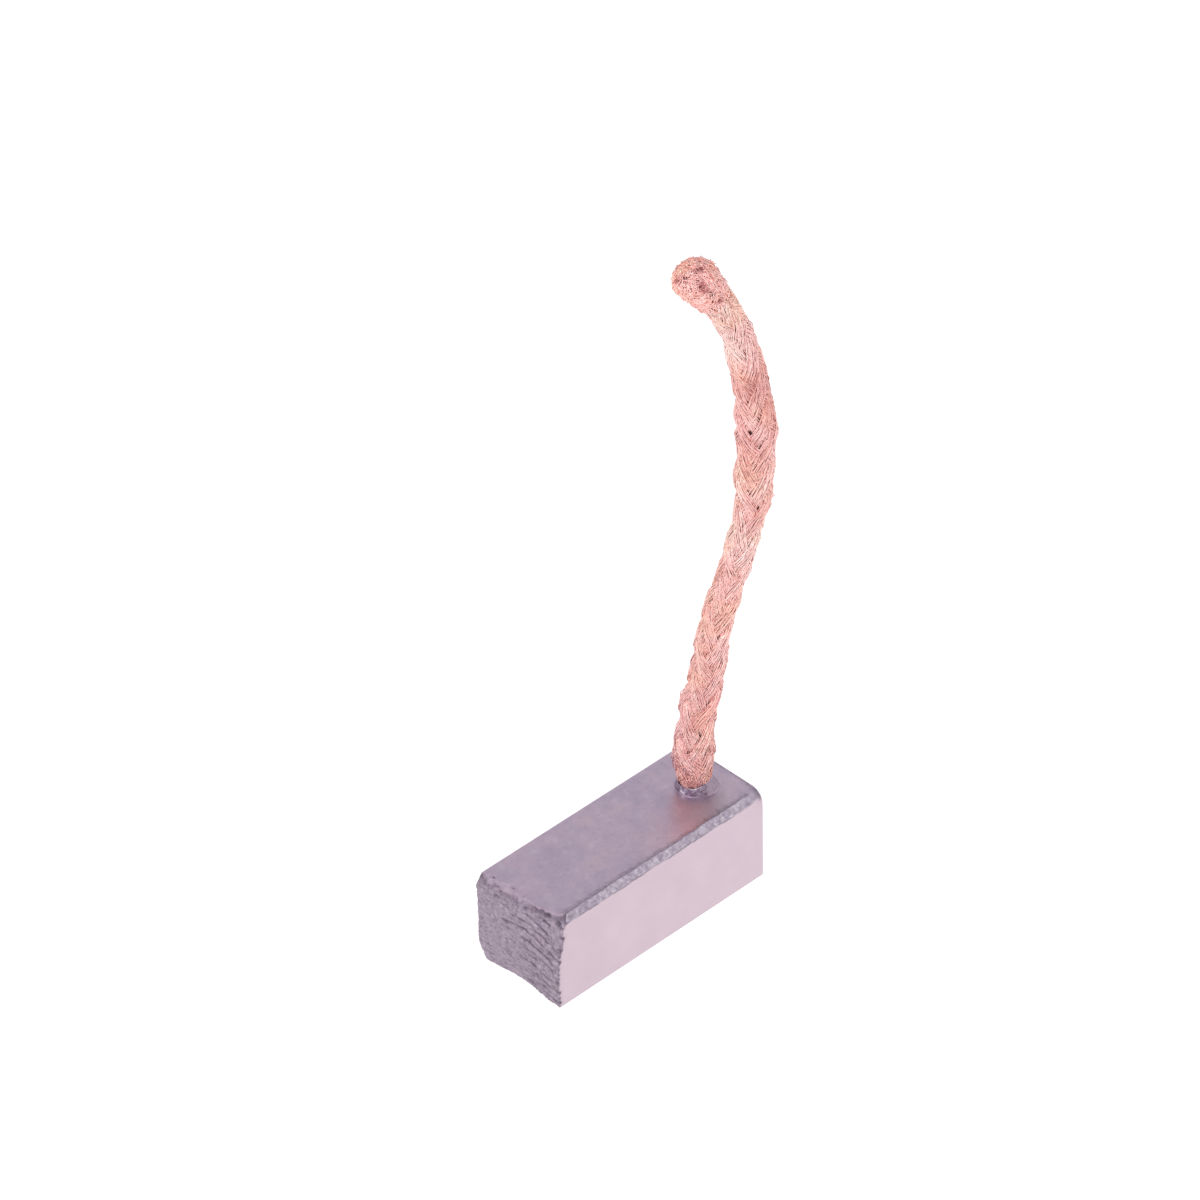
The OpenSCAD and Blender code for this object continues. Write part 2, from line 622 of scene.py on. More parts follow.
def mat_surface(s, phi):
    """A point of the cut end's outline, with its normal and two directions along it."""
    rad = np.interp(s, MAT[:, 0], MAT[:, 1])
    slope = (
        np.interp(s + 0.03, MAT[:, 0], MAT[:, 1]) - np.interp(s - 0.03, MAT[:, 0], MAT[:, 1])
    ) / 0.06
    l = lead_length + s
    n, b, t = (at(l, x) for x in (line_n, line_b, line_t))
    out = np.cos(phi)[..., None] * n + np.sin(phi)[..., None] * b
    k = np.sqrt(1 + slope**2)[..., None]
    normal = (out - slope[..., None] * t) / k
    along = (t + slope[..., None] * out) / k
    return middle(l) + rad[..., None] * out, normal, along, np.cross(normal, along)


# middles and sizes of the hollows in the matted end, in mm; the wires in and round them get painted shade
HOLLOWS = (
    ((6.8, -4.2, 69.4), 0.36),
    ((6.8, -4.5, 69.0), 0.24),
    ((8.5, -4.6, 67.2), 0.24),
    ((7.6, -3.4, 70.3), 0.22),
    ((7.5, -4.6, 68.6), 0.20),
    ((6.0, -2.1, 69.3), 0.18),
)


def in_hollow(pos, wide=1.5):
    """1 at the middle of a hollow, 0 away from all of them."""
    out = np.zeros(pos.shape[:-1])
    for at_, size in HOLLOWS:
        d2 = np.sum((pos - np.array(at_)) ** 2, axis=-1)
        out = np.maximum(out, np.exp(-d2 / (wide * size) ** 2))
    return out


def matted_end():
    """Short curled wires that lie every way over the cut end, like felt."""
    r = np.random.default_rng(80)
    seg = np.hypot(*np.diff(MAT, axis=0).T)
    run = np.concatenate([[0], np.cumsum(seg)])
    q = r.uniform(0, run[-1], 9000)
    s = np.interp(q, run, MAT[:, 0])
    rad = np.interp(q, run, MAT[:, 1])
    keep = r.random(len(s)) < rad / 2.0 * (0.10 + 0.90 * smooth(s, -3.4, -1.7))
    s = s[keep][:2100]
    n = len(s)
    phi = r.uniform(0, 2 * np.pi, n)
    p, normal, e1, e2 = mat_surface(s, phi)
    live = np.ones(n, bool)
    for at_, size in HOLLOWS:
        live &= np.linalg.norm(p - np.array(at_), axis=1) > 0.6 * size
    gaps = value_noise(p / 0.42, 83)
    live &= gaps < 0.72
    s, phi, p, normal, e1, e2 = (x[live] for x in (s, phi, p, normal, e1, e2))
    n = len(s)
    # the wires of the frayed side lie more along the lead
    spread = 0.5 + 0.5 * smooth(s, -2.6, -0.8)
    th = r.uniform(-np.pi, np.pi, n) * spread * 0.5 + np.where(r.random(n) < 0.5, 0, np.pi)
    u = np.linspace(-0.5, 0.5, 8)[None] * r.uniform(0.55, 1.25, (n, 1))
    bend = r.normal(0, 0.75, (n, 1))
    d1 = np.cos(th)[:, None] * u - np.sin(th)[:, None] * bend * u**2
    d2 = np.sin(th)[:, None] * u + np.cos(th)[:, None] * bend * u**2
    lift = r.uniform(-0.08, 0.04, (n, 1)) - r.uniform(0.35, 0.8, (n, 1)) * u**2
    # some stand up from the mat
    up = (r.random((n, 1)) < 0.10) * r.uniform(0.06, 0.28, (n, 1))
    half = (u / np.abs(u[:, :1]) + 1) / 2
    lift = lift + up * half**2
    pos = (
        p[:, None]
        + d1[..., None] * e1[:, None]
        + d2[..., None] * e2[:, None]
        + lift[..., None] * normal[:, None]
    )
    tone = np.clip(0.58 + 0.15 * r.standard_normal((n, 1)) + 0 * u, 0, 1)
    # painted shade: the curls in and round the hollows are dark red
    return tubes(
        "lead_matted_end",
        pos,
        np.full(u.shape, 0.056),
        4,
        tone,
        felt_mat,
        {"deep": in_hollow(pos, 1.25)},
    )


def frayed_foot():
    """Short curls of broken wire where the lead comes out of the collar."""
    r = np.random.default_rng(81)
    n = 300
    l = 7.45 + 3.6 * r.random(n) ** 1.5
    phi = r.uniform(0, 2 * np.pi, n)
    half = half_width(l)
    nn, bb, tt = (at(l, x) for x in (line_n, line_b, line_t))
    out = np.cos(phi)[:, None] * nn + np.sin(phi)[:, None] * bb
    side = np.cross(tt, out)
    th = r.normal(0, 0.55, n)
    u = np.linspace(-0.5, 0.5, 8)[None] * r.uniform(0.5, 1.2, (n, 1))
    bend = r.normal(0, 0.9, (n, 1))
    d1 = np.cos(th)[:, None] * u - np.sin(th)[:, None] * bend * u**2
    d2 = np.sin(th)[:, None] * u + np.cos(th)[:, None] * bend * u**2
    lift = r.uniform(-0.12, 0.03, (n, 1)) - r.uniform(0.2, 0.7, (n, 1)) * u**2
    p = middle(l) + (half - 0.02)[:, None] * out
    pos = (
        p[:, None]
        + d1[..., None] * tt[:, None]
        + d2[..., None] * side[:, None]
        + lift[..., None] * out[:, None]
    )
    tone = np.clip(0.60 + 0.22 * r.standard_normal((n, 1)) + 0 * u, 0, 1)
    # painted shade on about a third of the curls
    deep = 0.35 * (r.random((n, 1)) < 0.3) + 0 * u
    return tubes(
        "lead_frayed_foot", pos, np.full(u.shape, 0.045), 4, tone, felt_mat, {"deep": deep}
    )


def build_lead():
    pieces = []
    per = 56
    groups = {1: [], -1: []}
    fine_from = lead_length - 4.2
    for s in (1, -1):
        for k in range(CARRIERS):
            r = np.random.default_rng(900 + 17 * k + (0 if s > 0 else 500))
            spot, end = cut_spots(per, 0.08, 1.0, r)
            l = stations(end, fine_from)
            half = half_width(np.minimum(l, lead_length - 3.6))
            mean = half - 0.28
            phi = carrier_angle(s, k, l)
            # place in the flat bundle, turning slowly along it
            q = np.sqrt((np.arange(per)[:, None] + 0.5) / per)
            ang = 2.39996 * np.arange(per)[:, None] + 2 * np.pi * l / (
                27.0 + 9 * r.random()
            )
            wide = 0.68 + 0.10 * np.sin(2 * np.pi * l / (11 + 3 * r.random()) + 6 * r.random())
            lat = wide * q * np.cos(ang)
            dep = 0.15 * q * np.sin(ang)
            # rounded over towards its two edges, so that a crease runs between bundles
            dep = dep - 0.10 * np.abs(lat / wide) ** 3
            lat = lat + wander(
                per, l, ((9, 16, 0.5), (4, 7, 0.5), (2.0, 3.2, 0.4)), 0.12, r
            )
            dep = dep + wander(per, l, ((6, 12, 0.5), (3, 5, 0.5), (1.7, 2.6, 0.4)), 0.045, r)
            # a few wires stand off the bundle here and there
            loose = (r.random((per, 1)) < 0.08) * smooth(
                wander(per, l, ((7, 15, 1.0), (3, 6, 0.5)), 1.0, r), 0.8, 1.4
            )
            dep = dep + 0.20 * loose
            squash = np.interp(l, [0, 5.5, 8.0], [0.5, 0.55, 1.0])
            rad = mean + 0.12 * over_under(s, k, l) * squash + dep * squash
            phi = phi + lat / np.maximum(mean, 0.5) / 0.9
            rad = np.minimum(rad, mouth_room(l, phi))
            pos = lay_wires(phi, rad, l, end, spot, r)
            tone = 0.62 + 0.11 * r.standard_normal((per, 1)) + 0.14 * (r.random() - 0.5)
            tone = tone + wander(per, l, ((6, 18, 0.6), (2, 5, 0.4)), 0.11, r)
            # painted shade on its right side in the bend, painted light on its left above
            side = np.cos(phi + 0.76)
            tone = tone - 0.30 * np.clip(side + 0.3, 0, 1) * smooth(l, 47, 51) * smooth(l, 61, 57)
            tone = tone + 0.25 * np.clip(-side, 0, 1) * smooth(l, 55, 59) * smooth(l, 65, 63)
            # the stretches of tone and of painted light and shade, blended across the lead
            third = np.clip(side / 0.7, -1, 1)
            left, mid, right = (np.interp(l, TONE_AND_LIGHT[:, 0], TONE_AND_LIGHT[:, c]) for c in (1, 2, 3))
            tone = tone + mid + np.where(third < 0, (mid - left), (right - mid)) * third
            # painted shade: darker red where the lead goes down into the collar, and in the cut end's hollows
            deep = np.interp(l, [5.8, 7.0, 8.5, 10.5], [0.7, 0.4, 0.15, 0.0])
            deep = np.maximum(deep, 0.9 * in_hollow(pos))
            groups[s].append((pos, np.clip(tone, 0, 1), deep))
    for s, name in ((1, "lead_wires_right_hand"), (-1, "lead_wires_left_hand")):
        for part in (0, 1):
            chosen = groups[s][part * 3 : part * 3 + 3]
            pos, tone, deep = (np.concatenate([g[i] for g in chosen]) for i in range(3))
            radius = np.full(pos.shape[:2], WIRE / 2)
            pieces.append(
                tubes(
                    f"{name}_{part + 1}", pos, radius, 4, tone, copper_mat, {"deep": deep}
                )
            )
    # the straighter wires inside the braid
    r = np.random.default_rng(77)
    n = 72
    outer = (np.arange(n) < 42)[:, None]
    spot, end = cut_spots(n, 0.0, 0.30, r)
    l = stations(end, fine_from)
    half = half_width(np.minimum(l, lead_length - 3.6))
    rad = np.where(outer, 1.0, 0.66) * (half - 0.70)
    rad = rad + wander(n, l, ((8, 14, 0.6), (4, 6, 0.4)), 0.05, r)
    phi = (
        2 * np.pi * np.arange(n)[:, None] / np.where(outer, 42, 30)
        + 2 * np.pi * l / 70.0
        + wander(n, l, ((12, 20, 0.6), (5, 8, 0.4)), 0.12, r)
    )
    pos = lay_wires(phi, rad, l, end, spot, r)
    # the inner wires are painted darker, with painted shade in the bore, inside the braid and in the hollows
    tone = np.clip(0.42 + 0.2 * r.standard_normal((n, 1)) + 0 * l, 0, 1)
    radius = np.interp(l, [0, lead_length - 5, lead_length], [0.085, 0.085, 0.05])
    deep = np.interp(l, [0, 5.8, 7.4, lead_length - 4.5, lead_length - 1], [0.8, 0.8, 0.4, 0.3, 0.1])
    deep = np.maximum(deep, in_hollow(pos))
    # a solid middle, so that no light comes through
    pieces.append(
        tubes("lead_core_wires", pos, radius, 4, tone, copper_mat, {"deep": deep})
    )
    # the thick middle strands are painted dark, with painted shade all along
    r = np.random.default_rng(78)
    n = 9
    end = lead_length - 1.6 + r.uniform(-0.5, 0.3, n)
    l = stations(end, fine_from)
    ring = np.where(np.arange(n) == 0, 0.0, 0.40)[:, None]
    nn, bb = (at(l, x) for x in (line_n, line_b))
    phi = 2 * np.pi * np.arange(n)[:, None] / 8 + 2 * np.pi * l / 90.0
    pos = middle(l) + (ring * np.cos(phi))[..., None] * nn + (ring * np.sin(phi))[..., None] * bb
    radius = np.full(l.shape, 0.17)
    pieces.append(
        tubes(
            "lead_core_strands",
            pos,
            radius,
            8,
            np.full(l.shape, 0.35),
            copper_mat,
            {"deep": np.full(l.shape, 0.6)},
        )
    )
    # short broken wires inside the matted end
    r = np.random.default_rng(79)
    n = 360
    spot, end = cut_spots(n, 0.0, 1.0, r)
    start = end - r.uniform(1.3, 2.4, n)
    l = start[:, None] + np.linspace(0, 1, 11)[None] * (end - start)[:, None]
    rad = np.minimum(spot[:, None] * 0.62, 1.15) + 0 * l
    phi = r.uniform(0, 2 * np.pi, (n, 1)) + 0 * l
    pos = lay_wires(phi, rad, l, end, spot, r)
    tone = np.clip(0.55 + 0.2 * r.standard_normal((n, 1)) + 0 * l, 0, 1)
    radius = np.full(l.shape, 0.05)
    # painted shade, less towards the tips and more in the hollows
    deep = np.interp(l, [lead_length - 2.6, lead_length - 0.6], [0.3, 0.15])
    deep = np.maximum(deep, in_hollow(pos))
    pieces.append(
        tubes("lead_end_wires", pos, radius, 3, tone, copper_mat, {"deep": deep})
    )
    pieces.append(matted_end())
    pieces.append(frayed_foot())
    for p in pieces:
        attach(p, "root")
    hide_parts("pigtail_lead")
    return pieces


lead = build_lead()

# ---------------------------------------------------------------- the block

LEN, WID, HGT = 26.0, 10.0, 10.0
CHAMFER = 0.65
SIDE = 120  # steps along each side of the section


def grade(n, first=0.28, grow=1.35):
    """n steps from 0 to 1, short at both ends."""
    w = np.ones(n)
    for i in range(n):
        e = min(i, n - 1 - i)
        w[i] = min(1.0, first * grow**e)
    return np.concatenate([[0], np.cumsum(w)]) / w.sum()


def arc(cy, cz, ry, rz, a0, a1, n):
    a = np.radians(np.linspace(a0, a1, n + 1))
    return np.stack([cy + ry * np.cos(a), cz + rz * np.sin(a)], -1)


def section_sides():
    """The four sides of the cross-section as base + c * coefficient, with c the chamfer's
    two sizes (on the top, on the front), and the place across the chamfer (0 at its front
    edge, 1 at its top edge, -1 off it). Each side has SIDE + 1 points."""
    fb, bb, bt = 0.12, (1.1, 2.2), 0.2
    sides = {}

    def put(name, chunks):
        base = np.vstack([ch[0] if i == 0 else ch[0][1:] for i, ch in enumerate(chunks)])
        coef = np.vstack([ch[1] if i == 0 else ch[1][1:] for i, ch in enumerate(chunks)])
        cham = np.concatenate(
            [ch[2] if i == 0 else ch[2][1:] for i, ch in enumerate(chunks)]
        )
        assert len(base) == SIDE + 1, (name, len(base))
        sides[name] = (base, coef, cham)

    def fixed(p):
        return (p, np.zeros_like(p), -np.ones(len(p)))

    def line(p0, c0, p1, c1, n):
        g = grade(n)[:, None]
        p0, c0, p1, c1 = (np.array(x, float) for x in (p0, c0, p1, c1))
        return (p0 + (p1 - p0) * g, c0 + (c1 - c0) * g, -np.ones(n + 1))

    def half_chamfer(top, n):
        t = np.linspace(0.5, 1.0, n + 1)
        if top:  # from the middle to the top edge
            base = np.stack([np.full(n + 1, -5.0), np.full(n + 1, 10.0)], -1)
            coef = np.stack([t, -(1 - t)], -1)
            return (base, coef, t)
        t = t[::-1]  # from the front edge to the middle
        base = np.stack([np.full(n + 1, -5.0), np.full(n + 1, 10.0)], -1)
        coef = np.stack([1 - t, -t], -1)
        return (base, coef, 1 - t)

    put(
        "bottom",
        [
            fixed(arc(-5 + fb, fb, fb, fb, 225, 270, 3)),
            line((-5 + fb, 0), (0, 0), (5 - bb[0], 0), (0, 0), SIDE - 3 - 8),
            fixed(arc(5 - bb[0], bb[1], bb[0], bb[1], 270, 315, 8)),
        ],
    )
    put(
        "back",
        [
            fixed(arc(5 - bb[0], bb[1], bb[0], bb[1], 315, 360, 12)),
            line((5, bb[1]), (0, 0), (5, 10 - bt), (0, 0), SIDE - 12 - 4),
            fixed(arc(5 - bt, 10 - bt, bt, bt, 0, 45, 4)),
        ],
    )
    put(
        "top",
        [
            half_chamfer(True, 7),
            line((-5, 10), (1, 0), (5 - bt, 10), (0, 0), SIDE - 7 - 4),
            fixed(arc(5 - bt, 10 - bt, bt, bt, 90, 45, 4)),
        ],
    )
    put(
        "front",
        [
            fixed(arc(-5 + fb, fb, fb, fb, 225, 180, 3)),
            line((-5, fb), (0, 0), (-5, 10), (0, -1), SIDE - 3 - 7),
            half_chamfer(False, 7),
        ],
    )
    return sides


# grooves of the worn end: places (y, z) along each, depth and half width, in mm
GROOVES = (
    (((1.9, 9.1), (1.2, 9.35), (0.6, 9.05)), 0.16, 0.12),
    (((-2.4, 9.95), (-3.2, 9.75), (-4.2, 9.45)), 0.20, 0.14),
    (((-2.3, 9.45), (-3.0, 9.1), (-3.7, 8.7)), 0.20, 0.15),
    (((-0.6, 9.15), (-1.5, 8.95), (-2.4, 8.55), (-3.1, 7.95), (-3.8, 7.35)), 0.23, 0.15),
    (((0.6, 8.1), (-0.5, 8.25), (-1.5, 8.15), (-2.2, 7.95)), 0.15, 0.13),
    (((-1.6, 7.85), (-2.7, 7.45), (-3.6, 7.0), (-4.4, 6.5), (-5.3, 6.2)), 0.20, 0.16),
    (
        ((2.0, 6.65), (0.6, 6.95), (-1.0, 7.15), (-2.0, 6.95), (-3.0, 6.4), (-4.0, 5.8), (-5.3, 5.3)),
        0.27,
        0.18,
    ),
    (((2.6, 6.15), (1.4, 6.05), (0.2, 6.15), (-0.6, 6.3)), 0.12, 0.11),
    (((-1.4, 6.6), (-2.4, 6.25), (-3.4, 5.75), (-4.4, 5.2)), 0.12, 0.10),
    (((-0.3, 5.95), (-1.6, 5.95), (-2.7, 5.6), (-3.8, 5.15), (-5.3, 4.55)), 0.26, 0.17),
    (((0.4, 4.9), (-0.8, 5.05), (-2.4, 5.0), (-3.5, 4.5), (-5.3, 3.85)), 0.17, 0.14),
    (((-1.5, 4.35), (-2.6, 4.2), (-3.8, 3.75), (-5.3, 3.3)), 0.11, 0.11),
    (((0.3, 3.3), (-1.0, 3.45), (-2.2, 3.35), (-3.4, 2.95), (-5.3, 2.7)), 0.23, 0.16),
    (((1.0, 2.7), (0.4, 2.1), (-0.2, 1.8), (-1.2, 1.95), (-2.6, 2.2)), 0.17, 0.14),
    (((-1.8, 2.4), (-3.0, 2.2), (-4.2, 2.0), (-5.3, 1.75)), 0.22, 0.16),
    (((-1.2, 1.35), (-2.6, 1.5), (-4.0, 1.35), (-5.3, 1.05)), 0.16, 0.13),
    (((0.4, 0.75), (-1.0, 0.75), (-2.4, 0.85), (-3.8, 0.75), (-5.3, 0.45)), 0.17, 0.13),
    (((5.2, 8.15), (4.6, 8.25), (4.1, 8.15)), 0.14, 0.12),
    (((5.0, 9.35), (4.2, 9.5), (3.3, 9.55), (2.6, 9.35)), 0.13, 0.11),
    (((4.4, 9.0), (3.6, 9.1), (3.0, 8.95)), 0.12, 0.10),
    (((4.2, 8.6), (3.3, 8.75), (2.6, 8.6)), 0.08, 0.10),
    (((4.6, 7.55), (3.9, 7.65), (3.2, 7.45)), 0.08, 0.10),
    (((3.2, 5.3), (2.4, 5.2), (1.6, 5.3)), 0.08, 0.10),
    (((4.4, 5.35), (3.6, 5.45)), 0.09, 0.11),
    (((5.2, 7.1), (4.7, 7.05), (4.3, 6.85)), 0.12, 0.12),
    (((5.2, 6.1), (4.5, 6.2)), 0.10, 0.10),
    (((5.2, 4.65), (4.5, 4.6)), 0.10, 0.12),
    (((3.6, 3.6), (2.7, 3.15), (1.8, 2.9)), 0.09, 0.11),
    (((2.8, 1.6), (1.6, 1.3), (0.6, 1.25)), 0.08, 0.11),
)
# small pits, (y, z), half width and depth
PITS = (
    ((-4.35, 9.30), 0.24, 0.26),
    ((-4.65, 9.10), 0.15, 0.20),
    ((-4.95, 7.90), 0.22, 0.18),
    ((-4.85, 6.55), 0.25, 0.20),
    ((-1.30, 9.05), 0.15, 0.18),
    ((-0.20, 7.60), 0.14, 0.12),
    ((2.90, 5.90), 0.13, 0.12),
    ((1.50, 4.40), 0.14, 0.12),
    ((-4.80, 2.95), 0.22, 0.18),
    ((-4.75, 2.05), 0.20, 0.15),
)


# flakes that stand up from it, (y, z), half length, half width and height
FLAKES = (
    ((2.55, 9.62), 0.60, 0.13, 0.10),
    ((3.60, 9.72), 0.35, 0.10, 0.07),
    ((1.05, 9.45), 0.35, 0.10, 0.06),
    ((-0.25, 9.70), 0.16, 0.16, 0.09),
    ((3.30, 9.25), 0.50, 0.10, 0.05),
    ((-2.05, 9.60), 0.40, 0.12, 0.06),
)


def worn_end(y, z):
    """X of the worn end under (y, z) and how deep its grooves are there."""
    gy = np.array([-5, -3.5, -1.5, 1, 3, 5])
    gz = np.array([0, 2.5, 5, 7.5, 9, 10])
    grid = np.array(
        [
            [-12.45, -12.52, -12.47, -11.90, -11.75, -11.00],
            [-12.42, -12.62, -12.66, -12.36, -12.14, -11.80],
            [-12.25, -12.60, -12.76, -12.77, -12.70, -12.50],
            [-12.22, -12.65, -12.80, -12.95, -13.05, -13.00],
            [-12.52, -12.80, -12.92, -13.02, -13.12, -13.12],
            [-12.85, -13.02, -13.05, -13.05, -13.10, -13.05],
        ]
    )

    def hermite(x, xs):
        i = np.clip(np.searchsorted(xs, x) - 1, 0, len(xs) - 2)
        t = np.clip((x - xs[i]) / (xs[i + 1] - xs[i]), 0, 1)
        return i, t

    def along(vals, x, xs):
        m = np.gradient(vals, xs, axis=0)
        i, t = hermite(x, xs)
        h = (xs[i + 1] - xs[i])[..., None]
        t = t[..., None]
        return (
            (2 * t**3 - 3 * t**2 + 1) * vals[i]
            + (t**3 - 2 * t**2 + t) * h * m[i]
            + (-2 * t**3 + 3 * t**2) * vals[i + 1]
            + (t**3 - t**2) * h * m[i + 1]
        )

    shape = y.shape
    y, z = y.ravel(), z.ravel()
    rows = along(grid, y, gy)  # (n, 6) values at each gz
    m = np.gradient(rows, gz, axis=1)
    i, t = hermite(z, gz)
    j = np.arange(len(z))
    h = gz[i + 1] - gz[i]
    x = (
        (2 * t**3 - 3 * t**2 + 1) * rows[j, i]
        + (t**3 - 2 * t**2 + t) * h * m[j, i]
        + (-2 * t**3 + 3 * t**2) * rows[j, i + 1]
        + (t**3 - t**2) * h * m[j, i + 1]
    )
    # arched grooves with a low ridge under each, as a coarse saw leaves them
    p1 = np.stack([y / 1.1, z / 1.1, 0 * y], -1)
    p2 = np.stack([y / 0.4, z / 0.5, 0 * y], -1)
    zz = z + 0.06 * fbm(p1, 11, 2) + 0.05 * value_noise(p2, 12)
    cut = np.zeros_like(y)
    ridge = np.zeros_like(y)
    for k, (places, amp, wide) in enumerate(GROOVES):
        q = np.array(places)[::-1]
        zl = np.interp(y, q[:, 0], q[:, 1])
        slope = (np.interp(y + 0.2, q[:, 0], q[:, 1]) - np.interp(y - 0.2, q[:, 0], q[:, 1])) / 0.4
        dist = (zz - zl) / np.sqrt(1 + slope**2)
        fade = smooth(y, q[0, 0] - 0.15, q[0, 0] + 0.3) * smooth(y, q[-1, 0] + 0.25, q[-1, 0] - 0.5)
        if q[0, 0] < -5:
            fade = smooth(y, q[-1, 0] + 0.25, q[-1, 0] - 0.5)
        if q[-1, 0] > 5:
            fade = smooth(y, q[0, 0] - 0.15, q[0, 0] + 0.3)
        w = wide * (1 + 0.3 * value_noise(np.stack([y / 0.6, 0 * y + 1.7 * k, 0 * y], -1), 15))
        uneven = 0.85 + 0.45 * value_noise(np.stack([y / 0.45, 0 * y + 2.3 * k, 0 * y], -1), 16)
        cut = np.maximum(cut, 0.65 * amp * fade * uneven * np.exp(-((dist / w) ** 2)))
        ridge += 0.12 * amp * fade * uneven * np.exp(-(((dist + 1.7 * w) / (0.8 * w)) ** 2))
    for (py, pz), size, deep in PITS:
        cut = np.maximum(cut, deep * np.exp(-(((y - py) ** 2 + (zz - pz) ** 2) / size**2)))
    depth = cut - np.minimum(ridge, 0.04)
    for (py, pz), long_, wide, high in FLAKES:
        flake = ((y - py) / long_) ** 2 + ((zz - pz - 0.12 * (y - py)) / wide) ** 2
        depth -= high * np.exp(-(flake**2))
    # fine scores between them, less on the back half
    rho = np.hypot(y + 0.9, z + 6.0) - 6.0
    rho = rho + 0.09 * fbm(p1, 17, 2)
    fine = 0.5 + 0.5 * np.sin(2 * np.pi * rho / 0.36)
    back = smooth(y, -0.5, 2.5)
    low = smooth(z, 4.5, 2.0)
    depth += 0.030 * fine * (1 - 0.6 * back * low)
    score = (0.5 + 0.5 * np.sin(2 * np.pi * rho / 0.47 + 1.3 * fbm(p1, 19, 2))) ** 2
    broken = smooth(fbm(np.stack([y / 0.5, z / 0.35, 0 * y + 9], -1), 23, 2), -0.15, 0.45)
    score = score * broken * (1 - 0.75 * back)
    depth += 0.045 * score
    # crumbly grain
    g1 = fbm(np.stack([y / 0.55, z / 0.4, 0 * y], -1), 21, 3, 0.6)
    g2 = fbm(np.stack([y / 0.2, z / 0.17, 0 * y], -1), 31, 2, 0.6)
    depth += (0.085 * g1 + 0.045 * g2) * (1 - 0.4 * back * low)
    # a field of small crumbs in the lower middle
    field = np.exp(-(((y + 2.2) / 1.6) ** 2 + ((z - 4.2) / 1.0) ** 2) ** 2)
    g3 = value_noise(np.stack([y / 0.16, z / 0.16, 0 * y + 5], -1), 33)
    depth += 0.06 * field * g3
    spots = smooth(value_noise(np.stack([y / 0.42, z / 0.3, 0 * y + 3], -1), 44), 0.60, 0.85)
    depth += 0.08 * spots
    # a broken corner
    corner = np.hypot(y - 5.0, z - 10.0)
    chip = 0.55 * smooth(corner, 1.2, 0.1)
    return (x + depth - 0.08 + chip).reshape(shape), (depth + 0.06 * score).reshape(shape)


# streaks, the pale ones a painted highlight: ends, half width in mm, and how pale (above 0) or dark
STREAKS = (
    ((-12.48, 4.00, 9.84), (-12.27, 3.18, 9.93), 0.07, 0.7),
    ((-12.35, 3.10, 9.91), (-11.87, 1.85, 9.99), 0.10, 1.0),
    ((-12.07, -0.35, 10.0), (-12.07, -0.42, 10.0), 0.14, 0.9),
    ((-13.14, 1.83, 8.59), (-13.07, 0.82, 8.48), 0.07, 0.6),
    ((-12.35, 4.10, 9.90), (-11.97, 3.20, 9.99), 0.07, -1.0),
    ((-12.55, 3.15, 9.84), (-12.05, 1.90, 9.96), 0.06, -0.9),
    ((-11.90, 1.63, 10.0), (-11.82, 0.92, 10.0), 0.07, -0.8),
    ((-13.17, 2.12, 8.79), (-13.05, 0.97, 8.72), 0.06, -0.9),
    ((-12.98, 1.75, 6.62), (-12.86, 0.85, 6.80), 0.09, -0.9),
    ((-0.9, -5.0, 5.9), (-0.8, -5.0, 5.85), 0.09, -0.8),
)


def streaks(p):
    out = np.zeros(p.shape[:-1])
    for a, b, wide, value in STREAKS:
        a, b = np.array(a), np.array(b)
        t = np.clip((p - a) @ (b - a) / ((b - a) @ (b - a)), 0, 1)
        d = np.linalg.norm(p - a - t[..., None] * (b - a), axis=-1)
        out += value * np.exp(-((d / wide) ** 2)) * (0.55 + 0.45 * (1 - np.abs(2 * t - 1)))
    return out


def rolled(d, r):
    d = np.clip(d, 0, r)
    return r - np.sqrt(np.maximum(r * r - (r - d) ** 2, 0))


